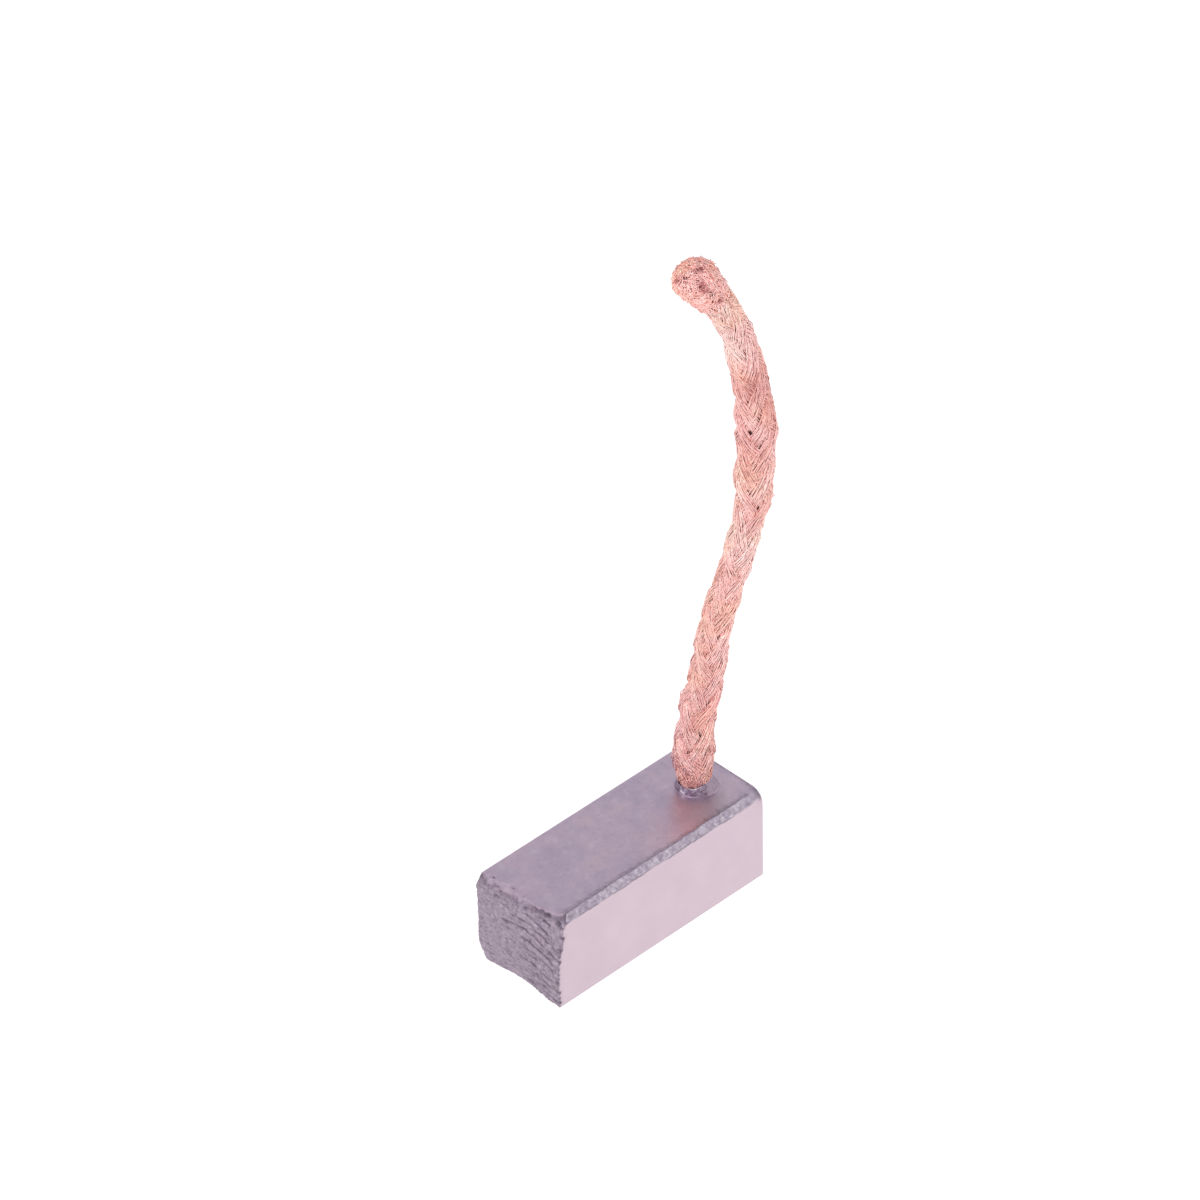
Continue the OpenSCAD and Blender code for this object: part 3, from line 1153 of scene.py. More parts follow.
def build_block():
    sides = section_sides()
    n = SIDE

    def side_at(name, c):
        base, coef, _ = sides[name]
        return base[None] + np.asarray(c)[:, None, :] * coef[None]

    # chamfer size along the block: a wavy, hand-filed edge
    xs_rel = np.concatenate(
        [
            np.array([0.0, 0.04, 0.09, 0.15, 0.22, 0.30, 0.39, 0.49, 0.6, 0.72, 0.85, 1.0]),
            np.arange(1.15, 2.4, 0.15),
        ]
    )
    k_dense = len(xs_rel) - 1
    body = np.linspace(-10.35, 12.6, 215)
    tail = 13.0 - np.array([0.3, 0.22, 0.15, 0.1, 0.06, 0.03, 0.01, 0.0])
    n_rows = len(xs_rel) + len(body) + len(tail)

    # the worn cap: a patch between the four sides
    c0 = 0.62
    B, T, F, K = (
        side_at(k, [(c0, c0)])[0] for k in ("bottom", "top", "front", "back")
    )
    u = np.linspace(0, 1, n + 1)[:, None, None]
    v = np.linspace(0, 1, n + 1)[None, :, None]
    patch = (
        (1 - v) * B[:, None]
        + v * T[:, None]
        + (1 - u) * F[None]
        + u * K[None]
        - (1 - u) * (1 - v) * B[0]
        - u * (1 - v) * B[-1]
        - (1 - u) * v * T[0]
        - u * v * T[-1]
    )
    y, z = patch[..., 0], patch[..., 1]
    # ragged outline in the section itself, so that the edge isn't a ruled line
    x, deep = worn_end(y, z)
    e3 = np.stack([y / 0.8, z / 0.8, 0 * y], -1)
    wob = fbm(e3, 51, 2)
    back = smooth(y, -2.8, 0.4) * smooth(y, 4.9, 3.9)
    x = x + rolled(10 - z, 0.42 + 0.25 * wob + 0.75 * back)
    x = x + rolled(y + 5, 0.07 + 0.05 * wob)
    x = x + rolled((y + 15 - z - c0) / math.sqrt(2), 0.2)
    # the outline is an ellipse in the lower back corner
    ey, ez = (y - 3.9) / 1.1, (z - 2.2) / 2.2
    in_corner = (y > 3.9) & (z < 2.2)
    ell = np.hypot(ey, ez)
    steep = np.maximum(np.hypot(ey / 1.1, ez / 2.2), 1e-6) / np.maximum(ell, 1e-6)
    gap = np.where(in_corner, (1 - ell) / steep, np.minimum(5 - y, z))
    x = x + rolled(gap, 0.24 + 0.14 * wob)
    cap = np.stack([x, y, z], -1)
    cap_id = np.arange((n + 1) ** 2).reshape(n + 1, n + 1)

    def around(name_i, name_j):
        """Loop of grid indices round the patch."""
        i = np.concatenate(
            [np.arange(n + 1), np.full(n, n), np.arange(n - 1, -1, -1), np.zeros(n - 1, int)]
        )
        j = np.concatenate(
            [np.zeros(n + 1, int), np.arange(1, n + 1), np.full(n, n), np.arange(n - 1, 0, -1)]
        )
        return i, j

    li, lj = around("i", "j")
    M = len(li)

    def loops(c):
        b, k, t, f = (side_at(q, c) for q in ("bottom", "back", "top", "front"))
        return np.concatenate([b, k[:, 1:], t[:, n - 1 :: -1], f[:, n - 1 : 0 : -1]], axis=1)

    def loop_flag(q):
        b, k, t, f = (sides[s][q] for s in ("bottom", "back", "top", "front"))
        return np.concatenate([b, k[1:], t[n - 1 :: -1], f[n - 1 : 0 : -1]])

    cham_flag = loop_flag(2)

    edge_x = cap[li, lj, 0]
    rows_x = [edge_x + r for r in xs_rel]
    # the dense rows even out to a plane station at the last one
    target = -10.45
    rows_x = [
        (1 - smooth(r, 0.3, 2.35)) * rx + smooth(r, 0.3, 2.35) * (target - (xs_rel[-1] - r))
        for r, rx in zip(xs_rel, rows_x)
    ]
    for q in body:
        rows_x.append(np.full(M, q))
    for q in tail:
        rows_x.append(np.full(M, q))
    X = np.array(rows_x)
    mean_x = X[:, M // 2]
    size = np.stack(
        [
            CHAMFER
            + 0.075 * fbm(np.stack([mean_x / 1.6, 0 * mean_x + k, 0 * mean_x], -1), 61 + k, 2)
            + 0.035 * value_noise(np.stack([mean_x / 0.4, 0 * mean_x + k, 0 * mean_x], -1), 67)
            + 0.07 * smooth(mean_x, 4, 12)
            for k in (0, 5)
        ],
        -1,
    )
    size[:, 1] -= 0.05 + 0.15 * smooth(mean_x, 11.3, 12.9)
    size[0] = c0
    size[1:6] = c0 + (size[1:6] - c0) * np.linspace(0.1, 0.9, 5)[:, None]
    YZ = loops(size)
    # how far each point lies from the chamfer's two edges
    on_ch = cham_flag >= 0
    cy, cz = size[:, :1], size[:, 1:]
    across = np.where(on_ch, np.minimum(cham_flag, 1 - cham_flag), 0) * np.hypot(cy, cz)
    beside = np.where(
        YZ[..., 1] > 9.99,
        np.abs(YZ[..., 0] + 5 - cy),
        np.where(YZ[..., 0] < -4.99, np.abs(10 - cz - YZ[..., 1]), 9.0),
    )
    to_line = np.where(on_ch, across, beside)
    line_w = 0.085 + 0.05 * fbm(np.stack([X / 0.35, YZ[..., 1], YZ[..., 0]], -1), 91, 2)
    line_v = np.exp(-((to_line / line_w) ** 2))
    # the lower line comes and goes
    lower = (cham_flag < 0.5) & (YZ[..., 1] < 9.9)
    gone = value_noise(np.stack([X / 1.7, 0 * X, 0 * X], -1), 93)
    line_v = line_v * np.where(lower, 1.15 - 0.55 * smooth(gone, 0.0, 0.6), 0.9)
    # the top is bruised along the upper one
    bruise = np.where(YZ[..., 1] > 9.99, YZ[..., 0] + 5 - cy, 9.0)
    bruise_w = 0.42 + 0.16 * fbm(np.stack([X / 0.5, YZ[..., 0] / 0.5, 0 * X], -1), 95, 2)
    line_v = np.maximum(line_v, 0.62 * np.exp(-((np.clip(bruise - 0.1, 0, 9) / bruise_w) ** 2)) * (~on_ch))
    # outward normals of the loop in the section
    d = np.roll(YZ, -1, axis=1) - np.roll(YZ, 1, axis=1)
    nrm = np.stack([d[..., 1], -d[..., 0]], -1)
    nrm /= np.linalg.norm(nrm, axis=2)[..., None]
    P = np.stack([X, YZ[..., 0], YZ[..., 1]], -1)
    grit = 0.030 * fbm(P / 0.22, 71, 2, 0.6) + 0.018 * fbm(P / 0.6, 75, 2)
    off = np.where(on_ch, np.clip(across / 0.2, 0, 1), 0) * grit
    # the faces are a little bruised just behind the worn end
    behind = np.clip(X - edge_x[None], 0, None)
    near = np.exp(-((behind / 0.55) ** 2))
    off = off + near * (0.02 * fbm(P / 0.35, 81, 2) - 0.012) * (behind > 1e-6)
    off[0] = 0
    YZ = YZ + nrm * off[..., None]
    # the filed corner grows round towards the plain end
    big = 1.4
    dy, dz = YZ[..., 0] + 5 - big, YZ[..., 1] - 10 + big
    far = np.hypot(dy, dz)
    pull = smooth(X, 11.3, 12.95) * ((dy < 0) & (dz > 0) & (far > big))
    pull = 1 + pull * (big / np.maximum(far, 1e-6) - 1)
    YZ[..., 0] = dy * pull - 5 + big
    YZ[..., 1] = dz * pull + 10 - big
    # short edges round the plain end
    shrink = 1 - rolled(13.0 - X, 0.22) / 5
    YZ[..., 0] *= shrink
    YZ[..., 1] = 5 + (YZ[..., 1] - 5) * shrink
    # the plain end isn't quite square to the block
    X = X + 0.16 * (0.5 - YZ[..., 0] / 10) * smooth(X, 11.5, 13.0)
    P = np.stack([X, YZ[..., 0], YZ[..., 1]], -1)
    rim_w = 0.32 + 0.25 * smooth(YZ[..., 0], -3.0, -4.3)
    rim = np.exp(-(((13.0 - X) / rim_w) ** 2)) * smooth(YZ[..., 1], 8.6, 9.4)
    line_v = np.maximum(line_v * (1 - 0.8 * smooth(X, 11.6, 12.4)), 0.80 * rim)

    # which points of the loop go on past the dense rows
    per_side = sorted(
        set(range(0, 15)) | set(range(15, n - 14, 9)) | set(range(n - 14, n + 1))
    )
    per_side = np.array(per_side)
    keep = np.unique(
        np.concatenate(
            [
                per_side,
                n + per_side,
                2 * n + (n - per_side),
                (3 * n + (n - per_side)) % (4 * n),
            ]
        )
    )
    verts = [cap.reshape(-1, 3)]
    deep_v = [deep.ravel()]
    cham_v = [0 * y.ravel()]
    line_a = [0.7 * smooth((y + 15 - z - c0) / math.sqrt(2), 0.16, 0.0).ravel()]
    rough_v = [1 + 0 * y.ravel()]
    # how much of the end's upper edge goes over into the top
    over_v = [smooth(10 - z, 0.25 + 1.0 * smooth(y, -2.5, 1.5), 0.1).ravel()]
    rub_v = [smooth(10 - z, 0.9, 0.1).ravel()]
    ids = [cap_id[li, lj]]
    count = (n + 1) ** 2
    faces, uvs = [], []
    # UV: the four long faces as one strip, each end in its own square
    loop_s = np.concatenate(
        [[0], np.cumsum(np.linalg.norm(np.diff(P[k_dense], axis=0), axis=1)[:, ])]
    )
    total = loop_s[-1] + np.linalg.norm(P[k_dense][0] - P[k_dense][-1])

    def strip_uv(row, j, wrap):
        s = np.where(wrap, total, loop_s[j])
        return np.stack([0.01 + 0.98 * s / total, 0.01 + 0.60 * (X[row, j] + 13.1) / 26.2], -1)

    for row in range(1, n_rows):
        if row <= k_dense:
            ids.append(count + np.arange(M))
            verts.append(P[row])
            count += M
            top = (YZ[row, :, 1] > 9.9) & (YZ[row, :, 0] > -4.0)
            rough_v.append(
                np.where(
                    top,
                    np.exp(-((behind[row] / 0.8) ** 2)),
                    0.6 * np.exp(-((behind[row] / 0.16) ** 2)),
                )
            )
            cham_v.append(on_ch * 1.0)
            line_a.append(line_v[row])
            rub_v.append(np.exp(-((behind[row] / 0.35) ** 2)))
            over_v.append(np.ones(M))
            deep_v.append(np.zeros(M))
            a = np.arange(M)
            b = np.roll(a, -1)
            wrap = b == 0
            faces.append(
                np.stack([ids[row - 1][a], ids[row - 1][b], ids[row][b], ids[row][a]], -1)
            )
            no = np.zeros(M, bool)
            uvs.append(
                np.stack(
                    [
                        strip_uv(row - 1, a, no),
                        strip_uv(row - 1, b, wrap),
                        strip_uv(row, b, wrap),
                        strip_uv(row, a, no),
                    ],
                    1,
                )
            )
        else:
            table = np.full(M, -1)
            table[keep] = count + np.arange(len(keep))
            ids.append(table)
            verts.append(P[row][keep])
            count += len(keep)
            rough_v.append(np.zeros(len(keep)))
            cham_v.append(on_ch[keep] * 1.0)
            line_a.append(line_v[row][keep])
            rub_v.append(np.zeros(len(keep)))
            over_v.append(np.ones(len(keep)))
            deep_v.append(np.zeros(len(keep)))
            a = keep
            b = np.roll(keep, -1)
            wrap = b == 0
            no = np.zeros(len(a), bool)
            if row == k_dense + 1:
                for aa, bb in zip(a, b):
                    run = np.arange(aa, bb + 1 if bb else M + 1)
                    rr = run % M
                    w = run >= M
                    poly = np.concatenate([ids[row - 1][rr], [ids[row][bb], ids[row][aa]]])
                    uvp = np.vstack(
                        [
                            strip_uv(row - 1, rr, w),
                            strip_uv(row, np.array([bb]), np.array([bb == 0])),
                            strip_uv(row, np.array([aa]), np.array([False])),
                        ]
                    )
                    faces.append(poly[None])
                    uvs.append(uvp[None])
            else:
                faces.append(
                    np.stack(
                        [ids[row - 1][a], ids[row - 1][b], ids[row][b], ids[row][a]], -1
                    )
                )
                uvs.append(
                    np.stack(
                        [
                            strip_uv(row - 1, a, no),
                            strip_uv(row - 1, b, wrap),
                            strip_uv(row, b, wrap),
                            strip_uv(row, a, no),
                        ],
                        1,
                    )
                )
    # the worn cap's own faces
    g = cap_id
    faces.append(
        np.stack(
            [g[:-1, :-1].ravel(), g[:-1, 1:].ravel(), g[1:, 1:].ravel(), g[1:, :-1].ravel()],
            -1,
        )
    )
    cuv = np.stack([0.01 + 0.032 * (y + 5.1), 0.64 + 0.032 * (z + 0.1)], -1).reshape(-1, 2)
    uvs.append(cuv[faces[-1]])
    # the plain end: a patch on the last row
    m = len(per_side) - 1
    last = n_rows - 1
    i2 = np.concatenate(
        [np.arange(m + 1), np.full(m, m), np.arange(m - 1, -1, -1), np.zeros(m - 1, int)]
    )
    j2 = np.concatenate(
        [np.zeros(m + 1, int), np.arange(1, m + 1), np.full(m, m), np.arange(m - 1, 0, -1)]
    )
    grid = np.full((m + 1, m + 1), -1)
    order = np.concatenate(
        [
            per_side,
            n + per_side[1:],
            2 * n + (n - per_side[:-1][::-1]),
            (3 * n + (n - per_side[1:-1][::-1])),
        ]
    )
    grid[i2, j2] = ids[last][order]
    pos = np.zeros((m + 1, m + 1, 3))
    pos[i2, j2] = P[last][order]
    Bq, Tq, Fq, Kq = pos[:, 0], pos[:, -1], pos[0], pos[-1]
    # blend by the kept steps' own places
    uu = (per_side / n)[:, None, None]
    vv = (per_side / n)[None, :, None]
    patch = (
        (1 - vv) * Bq[:, None]
        + vv * Tq[:, None]
        + (1 - uu) * Fq[None]
        + uu * Kq[None]
        - (1 - uu) * (1 - vv) * Bq[0]
        - uu * (1 - vv) * Bq[-1]
        - (1 - uu) * vv * Tq[0]
        - uu * vv * Tq[-1]
    )
    inner = patch[1:-1, 1:-1].reshape(-1, 3)
    grid[1:-1, 1:-1] = (count + np.arange(len(inner))).reshape(m - 1, m - 1)
    count += len(inner)
    verts.append(inner)
    rough_v.append(np.zeros(len(inner)))
    cham_v.append(np.zeros(len(inner)))
    line_a.append(np.zeros(len(inner)))
    rub_v.append(np.zeros(len(inner)))
    over_v.append(np.ones(len(inner)))
    deep_v.append(np.zeros(len(inner)))
    patch_uv = np.stack(
        [0.36 + 0.032 * (patch[..., 1] + 5.1), 0.64 + 0.032 * (patch[..., 2] + 0.1)], -1
    )
    faces.append(
        np.stack(
            [
                grid[:-1, :-1].ravel(),
                grid[1:, :-1].ravel(),
                grid[1:, 1:].ravel(),
                grid[:-1, 1:].ravel(),
            ],
            -1,
        )
    )
    uvs.append(
        np.stack(
            [
                patch_uv[:-1, :-1].reshape(-1, 2),
                patch_uv[1:, :-1].reshape(-1, 2),
                patch_uv[1:, 1:].reshape(-1, 2),
                patch_uv[:-1, 1:].reshape(-1, 2),
            ],
            1,
        )
    )
    verts = np.vstack(verts)
    obj = make_mesh(
        "brush_body",
        verts,
        faces,
        uvs,
        {
            "rough_end": np.concatenate(rough_v),
            "chamfered": np.concatenate(cham_v),
            "cavity": np.concatenate(deep_v),
            "edge_line": np.concatenate(line_a),
            "rub": np.concatenate(rub_v),
            "over": np.concatenate(over_v),
            "streak": streaks(verts),
        },
    )
    return obj


def graphite(name):
    m = Nodes(name)
    b = m.bsdf
    vec = m.coords()
    rough_end = m.attr("rough_end")
    cham = m.attr("chamfered")
    cav = m.attr("cavity")
    line = m.attr("edge_line")
    geo = m.add("ShaderNodeNewGeometry")
    sep = m.add("ShaderNodeSeparateXYZ")
    m.link(geo.outputs["Normal"], sep.inputs[0])
    # ground faces: clean at the sides, cloudy on the pressed top
    cloud = m.noise(vec, 330, 4.0, 0.6)
    patch = m.noise(vec, 900, 3.0, 0.6)
    speck = m.noise(vec, 2600, 3.0, 0.65)
    grain = m.noise(vec, 6500, 2.0, 0.6)
    up = m.math("GREATER_THAN", sep.outputs["Z"], 0.8)
    face = m.ramp(
        cloud,
        (
            (0.30, (0.560, 0.455, 0.505)),
            (0.50, (0.580, 0.474, 0.526)),
            (0.72, (0.600, 0.495, 0.540)),
        ),
    )
    top = m.ramp(
        cloud,
        (
            (0.28, (0.535, 0.445, 0.535)),
            (0.50, (0.595, 0.487, 0.568)),
            (0.74, (0.660, 0.528, 0.575)),
        ),
    )
    pale = m.ramp(patch, ((0.52, 0.0), (0.72, 1.0)))
    top = m.mix(m.math("MULTIPLY", pale, 0.60), top, (0.70, 0.590, 0.65))
    dim = m.ramp(patch, ((0.28, 1.0), (0.44, 0.0)))
    top = m.mix(m.math("MULTIPLY", dim, 0.55), top, (0.50, 0.40, 0.49))
    dark_specks = m.ramp(speck, ((0.34, 1.0), (0.42, 0.0)))
    light_specks = m.ramp(speck, ((0.62, 0.0), (0.70, 1.0)))
    top = m.mix(m.math("MULTIPLY", dark_specks, 0.30), top, (0.40, 0.32, 0.40))
    top = m.mix(m.math("MULTIPLY", light_specks, 0.30), top, (0.76, 0.66, 0.72))
    col = m.mix(up, face, top)
    # the filed chamfer: pale and speckled between two dark edges
    cham_col = m.ramp(
        m.noise(vec, 2000, 3.0, 0.6),
        (
            (0.34, (0.49, 0.41, 0.485)),
            (0.50, (0.61, 0.53, 0.595)),
            (0.68, (0.78, 0.71, 0.76)),
        ),
    )
    fleck = m.ramp(speck, ((0.36, 1.0), (0.50, 0.0)))
    cham_col = m.mix(m.math("MULTIPLY", fleck, 0.60), cham_col, (0.34, 0.27, 0.34))
    glint = m.ramp(speck, ((0.60, 0.0), (0.72, 1.0)))
    cham_col = m.mix(m.math("MULTIPLY", glint, 0.7), cham_col, (0.88, 0.84, 0.88))
    where = m.add("ShaderNodeSeparateXYZ")
    m.link(vec, where.inputs[0])
    # the chamfer goes darker towards the plain end
    worn = m.ramp(m.math("MULTIPLY_ADD", where.outputs["X"], 300.0, -3.2), ((0.0, 0.0), (0.6, 0.6)))
    cham_col = m.mix(worn, cham_col, (0.42, 0.36, 0.42))
    col = m.mix(cham, col, cham_col)
    # the worn end: painted shade in its grooves, painted light on its raised flakes
    end_col = m.ramp(
        speck,
        (
            (0.30, (0.220, 0.175, 0.225)),
            (0.46, (0.340, 0.278, 0.340)),
            (0.62, (0.410, 0.340, 0.405)),
            (0.76, (0.590, 0.510, 0.575)),
        ),
    )
    end_col = m.mix(
        m.math("MULTIPLY", m.ramp(patch, ((0.34, 0.0), (0.66, 1.0))), 0.30),
        end_col,
        (0.440, 0.365, 0.425),
    )
    # painted light on the raised flakes and ridges
    crest_light = m.math("MULTIPLY", m.ramp(m.math("ADD", cav, 0.1), ((0.0, 1.0), (0.10, 0.0))), 0.4)
    end_col = m.mix(crest_light, end_col, (0.520, 0.450, 0.515))
    # painted shade in the grooves, by their depth
    groove_shade = m.math("MULTIPLY", m.ramp(cav, ((0.04, 0.0), (0.21, 1.0))), 0.80)
    end_col = m.mix(groove_shade, end_col, (0.120, 0.088, 0.125))
    # where the end rolls over into the top its colour goes over too
    tilt = m.math("MULTIPLY_ADD", m.math("SUBTRACT", patch, 0.5), 0.22, sep.outputs["Z"])
    tilt = m.ramp(tilt, ((0.78, 0.0), (0.95, 0.95)))
    tilt = m.math("SUBTRACT", 1.0, m.math("MULTIPLY", tilt, m.attr("over")))
    edge = m.math("MULTIPLY_ADD", m.noise(vec, 1200, 2.0), 0.7, rough_end)
    edge = m.ramp(edge, ((0.60, 0.0), (1.00, 1.0)))
    edge = m.math("MULTIPLY", edge, tilt)
    col = m.mix(edge, col, end_col)
    # the pale streaks are a painted highlight
    light = m.math("MULTIPLY_ADD", m.math("SUBTRACT", speck, 0.5), 0.8, m.attr("streak"))
    col = m.mix(m.ramp(light, ((0.25, 0.0), (0.75, 0.8))), col, (0.80, 0.74, 0.80))
    shade = m.math("MULTIPLY_ADD", m.math("SUBTRACT", speck, 0.5), 0.8, m.math("MULTIPLY", m.attr("streak"), -1.0))
    col = m.mix(m.ramp(shade, ((0.25, 0.0), (0.75, 0.8))), col, (0.14, 0.105, 0.145))
    # painted shade on the top in front of the lead, where the top mirrors it; it is rougher there too
    dist = m.add("ShaderNodeVectorMath", operation="DISTANCE")
    m.link(vec, dist.inputs[0])
    dist.inputs[1].default_value = (0.0080, -0.0030, 0.010)
    mirror_shade = m.math("MULTIPLY_ADD", m.math("SUBTRACT", patch, 0.5), 0.004, dist.outputs["Value"])
    mirror_shade = m.ramp(m.math("MULTIPLY", mirror_shade, 250.0), ((0.30, 1.0), (0.85, 0.0)))
    mirror_shade = m.math("MULTIPLY", m.math("MULTIPLY", mirror_shade, up), 0.60)
    col = m.mix(mirror_shade, col, (0.460, 0.425, 0.480))
    rag = m.math("MULTIPLY_ADD", m.math("SUBTRACT", speck, 0.5), 1.5, line)
    rag = m.ramp(rag, ((0.25, 0.0), (0.95, 1.0)))
    col = m.mix(m.math("MULTIPLY", rag, 0.72), col, (0.190, 0.148, 0.190))
    m.link(col, b.inputs["Base Color"])
    b.inputs["Metallic"].default_value = 1.0
    r_face = m.math("MULTIPLY_ADD", cloud, 0.12, 0.27)
    r = m.math("MULTIPLY_ADD", up, 0.05, r_face)
    r = m.math("MULTIPLY_ADD", mirror_shade, 0.16, r)
    r = m.math("MULTIPLY_ADD", cham, 0.12, r)
    r = m.math("MULTIPLY_ADD", m.attr("rub"), 0.25, r)
    r = m.math("MULTIPLY_ADD", edge, 0.30, r, clamp=True)
    m.link(r, b.inputs["Roughness"])
    h = m.math("MULTIPLY_ADD", grain, 0.4, speck)
    keen = m.math("MULTIPLY_ADD", edge, 0.5, 0.05)
    keen = m.math("MULTIPLY_ADD", cham, 0.5, keen)
    h = m.math("MULTIPLY", h, keen)
    m.link(m.bump(h, 0.6, 0.00006), b.inputs["Normal"])
    return m.mat


block = build_block()
block.data.materials.append(graphite("metal_graphite"))


def drill(obj, x, y, z0, z1, r):
    """Cuts the lead's bore into the block and applies it."""
    seg = 64
    a = 2 * np.pi * np.arange(seg) / seg
    lo = np.stack([x + r * np.cos(a), y + r * np.sin(a), np.full(seg, z0)], -1)
    hi = lo + [0, 0, z1 - z0]
    i = np.arange(seg)
    j = np.roll(i, -1)
    cutter = make_mesh(
        "cutter",
        np.vstack([lo, hi]),
        [np.stack([i, j, j + seg, i + seg], -1), i[::-1][None], (i + seg)[None]],
        sharp=True,
    )
    mod = obj.modifiers.new("bore", "BOOLEAN")
    mod.operation = "DIFFERENCE"
    mod.solver = "EXACT"
    mod.object = cutter
    bpy.context.view_layer.update()
    dg = bpy.context.evaluated_depsgraph_get()
    made = bpy.data.meshes.new_from_object(obj.evaluated_get(dg))
    obj.modifiers.clear()
    old = obj.data
    obj.data = made
    bpy.data.meshes.remove(old)
    bpy.data.objects.remove(cutter)


drill(block, 9.3, 0.0, 3.5, 12.0, 1.6)
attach(block, "root")
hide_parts("brush_block")

# ---------------------------------------------------------------- the collar


def build_collar():
    m, seg = 34, 180
    a = 2 * np.pi * np.arange(seg) / seg
    deg = np.degrees(a)
    turn = [0, 50, 100, 136, 170, 200, 227, 250, 267, 286, 317, 340, 360]
    # how high the compound is pressed up round the lead, and how far out it reaches
    high = np.interp(deg, turn, [1.1, 0.8, 0.7, 0.75, 0.8, 0.85, 0.93, 1.12, 1.28, 1.42, 1.45, 1.3, 1.1])
    foot_r = np.interp(deg, turn, [2.0, 1.9, 1.86, 1.85, 1.78, 1.69, 1.64, 1.68, 1.85, 2.15, 2.3, 2.2, 2.0])
    steep = np.interp(deg, turn, [1.3, 1.0, 0.8, 0.7, 0.7, 0.7, 0.7, 0.8, 1.2, 1.6, 1.7, 1.6, 1.3])
    r = np.zeros((m, seg))
    z = np.zeros((m, seg))
    r[:10] = 1.50
    z[:10] = np.linspace(3.5, 9.8, 10)[:, None]
    q = np.linspace(0.0, 1.0, 7)[:, None]
    r[10:17] = 1.50 - 0.01 * np.sin(np.pi * q)
    z[10:17] = 10.0 + (high - 0.06) * q
    r[17] = 1.52
    z[17] = 10.0 + high
    r[18] = 1.55
    z[18] = 10.0 + high
    q = np.linspace(0.0, 1.0, 9)[1:, None]
    r[19:27] = 1.55 + (foot_r - 1.55) * q ** np.stack([steep] * 8)
    z[19:27] = 9.985 + (high + 0.015) * (1 - q)
    # on below the block's top, then in to the bore
    r[27] = foot_r + 0.01
    z[27] = 9.95
    r[28] = foot_r - 0.01
    z[28] = 9.92
    r[29:] = 1.597
    z[29:] = np.linspace(9.90, 3.5, m - 29)[:, None]
    p = np.stack([r * np.cos(a), r * np.sin(a), z], -1)
    lump = fbm(p / 0.5, 131, 3, 0.6)
    small = fbm(p / 0.18, 137, 2, 0.6)
    live = smooth(z, 10.02, 10.3)
    r = r + live * (0.04 * lump + 0.05 * small) * smooth(r, 1.50, 1.58)
    z = z + live * (0.08 * lump + 0.08 * small)
    # how far up its side, and a painted highlight low on the left
    rise = z - 10.0
    pale = np.exp(-(((deg - 184) / 13) ** 2)) * np.exp(-(((rise - 0.28) / 0.20) ** 2))
    # bare compound on one side, rubbed as bright as the block on the other
    bare = smooth(deg, 95, 125) * smooth(deg, 276, 256)
    pts = np.stack([9.3 + r * np.cos(a), r * np.sin(a), z], -1)
    idx = np.arange(m * seg).reshape(m, seg)
    nxt = np.roll(idx, -1, axis=1)
    up = np.roll(idx, -1, axis=0)
    upn = np.roll(nxt, -1, axis=0)
    faces = np.stack([idx, nxt, upn, up], -1).reshape(-1, 4)[:, ::-1]
    v = np.linspace(0, 1, m + 1)[:-1]
    u = np.arange(seg) / seg
    U0 = np.broadcast_to(u[None], (m, seg))
    V0 = np.broadcast_to(v[:, None], (m, seg))
    du, dv = 1 / seg, 1 / m
    uv = np.stack(
        [
            np.stack([U0, V0], -1),
            np.stack([U0 + du, V0], -1),
            np.stack([U0 + du, V0 + dv], -1),
            np.stack([U0, V0 + dv], -1),
        ],
        -2,
    ).reshape(-1, 4, 2)[:, ::-1]
    return make_mesh(
        "tamped_collar",
        pts.reshape(-1, 3),
        [faces],
        [uv],
        {"bare": (bare + 0 * z).ravel(), "pale": pale.ravel(), "rise": rise.ravel()},
    )


def tamping(name):
    m = Nodes(name)
    b = m.bsdf
    vec = m.coords()
    speck = m.noise(vec, 2300, 3.0, 0.65)
    cloud = m.noise(vec, 800, 2.0, 0.5)
    col = m.ramp(
        speck,
        (
            (0.34, (0.150, 0.095, 0.135)),
            (0.46, (0.300, 0.225, 0.290)),
            (0.58, (0.420, 0.335, 0.405)),
            (0.72, (0.680, 0.590, 0.650)),
        ),
    )
    col = m.mix(m.ramp(cloud, ((0.48, 0.0), (0.70, 0.7))), col, (0.210, 0.150, 0.225))
    # painted highlight low on the left
    light = m.math("MULTIPLY_ADD", m.math("SUBTRACT", speck, 0.5), 1.6, m.attr("pale"))
    col = m.mix(m.ramp(light, ((0.30, 0.0), (0.80, 0.9))), col, (0.86, 0.79, 0.86))
    # its foot and its far side have been rubbed as bright as the block
    foot = m.math("MULTIPLY_ADD", m.math("SUBTRACT", speck, 0.5), 0.3, m.attr("rise"))
    foot = m.ramp(foot, ((0.03, 1.0), (0.12, 0.0)))
    far = m.math("MULTIPLY_ADD", m.math("SUBTRACT", cloud, 0.5), 0.8, m.attr("bare"))
    far = m.ramp(far, ((0.30, 1.0), (0.70, 0.0)))
    side = m.ramp(speck, ((0.36, (0.385, 0.305, 0.37)), (0.52, (0.465, 0.375, 0.445))))
    col = m.mix(far, col, side)
    col = m.mix(foot, col, (0.595, 0.487, 0.570))
    m.link(col, b.inputs["Base Color"])
    b.inputs["Metallic"].default_value = 0.95
    rough = m.math("MULTIPLY_ADD", speck, 0.3, 0.40)
    rough = m.math("MULTIPLY_ADD", foot, -0.15, rough)
    m.link(rough, b.inputs["Roughness"])
    keen = m.math("MULTIPLY_ADD", foot, -0.5, 0.6)
    keen = m.math("MULTIPLY_ADD", far, -0.35, keen, clamp=True)
    m.link(m.bump(m.math("MULTIPLY", speck, keen), 0.9, 0.00006), b.inputs["Normal"])
    return m.mat


collar = build_collar()
collar.data.materials.append(tamping("tamping_compound"))
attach(collar, "root")
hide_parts("tamping_plug")

# ---------------------------------------------------------------- floor and light

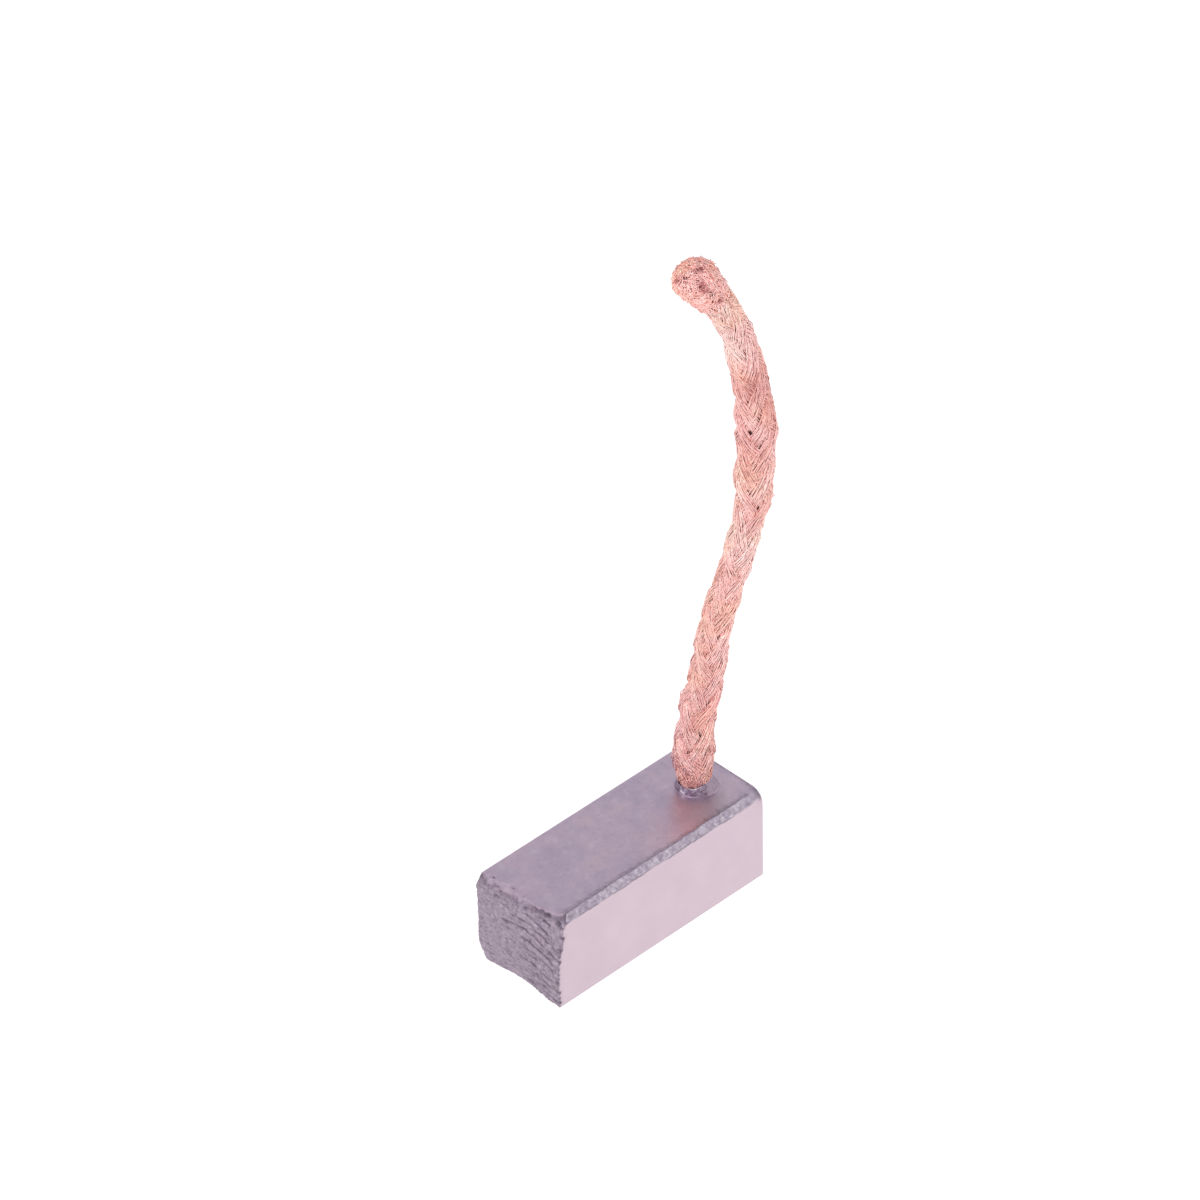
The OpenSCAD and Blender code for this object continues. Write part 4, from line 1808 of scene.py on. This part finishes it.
R = 3.0
floor = make_mesh(
    "floor",
    np.array([[-R, -R, 0], [R, -R, 0], [R, R, 0], [-R, R, 0]]) / MM,
    [np.array([[0, 1, 2, 3]])],
    sharp=True,
)
fm = Nodes("floor_paper")
fb = fm.bsdf
paper = fm.ramp(
    fm.noise(fm.coords(), 40, 2.0), ((0.3, (0.27, 0.27, 0.275)), (0.7, (0.29, 0.29, 0.295)))
)
fm.link(paper, fb.inputs["Base Color"])
fb.inputs["Roughness"].default_value = 0.9
fb.inputs["Specular IOR Level"].default_value = 0.1
fb.inputs["Emission Color"].default_value = (1.0, 0.995, 1.0, 1)
fb.inputs["Emission Strength"].default_value = 0.93
floor.data.materials.append(fm.mat)

world = bpy.data.worlds.new("studio")
scene.world = world
world.use_nodes = True
wt = world.node_tree
bg = wt.nodes["Background"]
tc = wt.nodes.new("ShaderNodeTexCoord")
sp = wt.nodes.new("ShaderNodeSeparateXYZ")
wt.links.new(tc.outputs["Generated"], sp.inputs[0])
wr = wt.nodes.new("ShaderNodeValToRGB")
e = wr.color_ramp.elements
e[0].position, e[0].color = 0.30, (1.0, 1.0, 1.02, 1)
e[1].position, e[1].color = 0.55, (0.63, 0.62, 0.70, 1)
wt.links.new(sp.outputs["Z"], wr.inputs["Fac"])
wt.links.new(wr.outputs["Color"], bg.inputs["Color"])
bg.inputs["Strength"].default_value = 1.0


def softbox(name, at_, aim, w, h, power, colour=(1, 1, 1)):
    data = bpy.data.lights.new(name, "AREA")
    data.shape = "RECTANGLE"
    data.size, data.size_y = w, h
    data.energy = power
    data.color = colour
    o = bpy.data.objects.new(name, data)
    scene.collection.objects.link(o)
    o.location = at_
    o.rotation_mode = "QUATERNION"
    o.rotation_quaternion = (Vector(aim) - Vector(at_)).to_track_quat("-Z", "Y")
    return o


softbox("key", (-0.62, -0.30, 0.62), (0, 0, 0.03), 0.5, 0.5, 4.0, (1.0, 0.985, 0.97))

scene.view_settings.view_transform = "Standard"
scene.view_settings.look = "None"
scene.view_settings.exposure = 0.0
scene.view_settings.gamma = 1.0
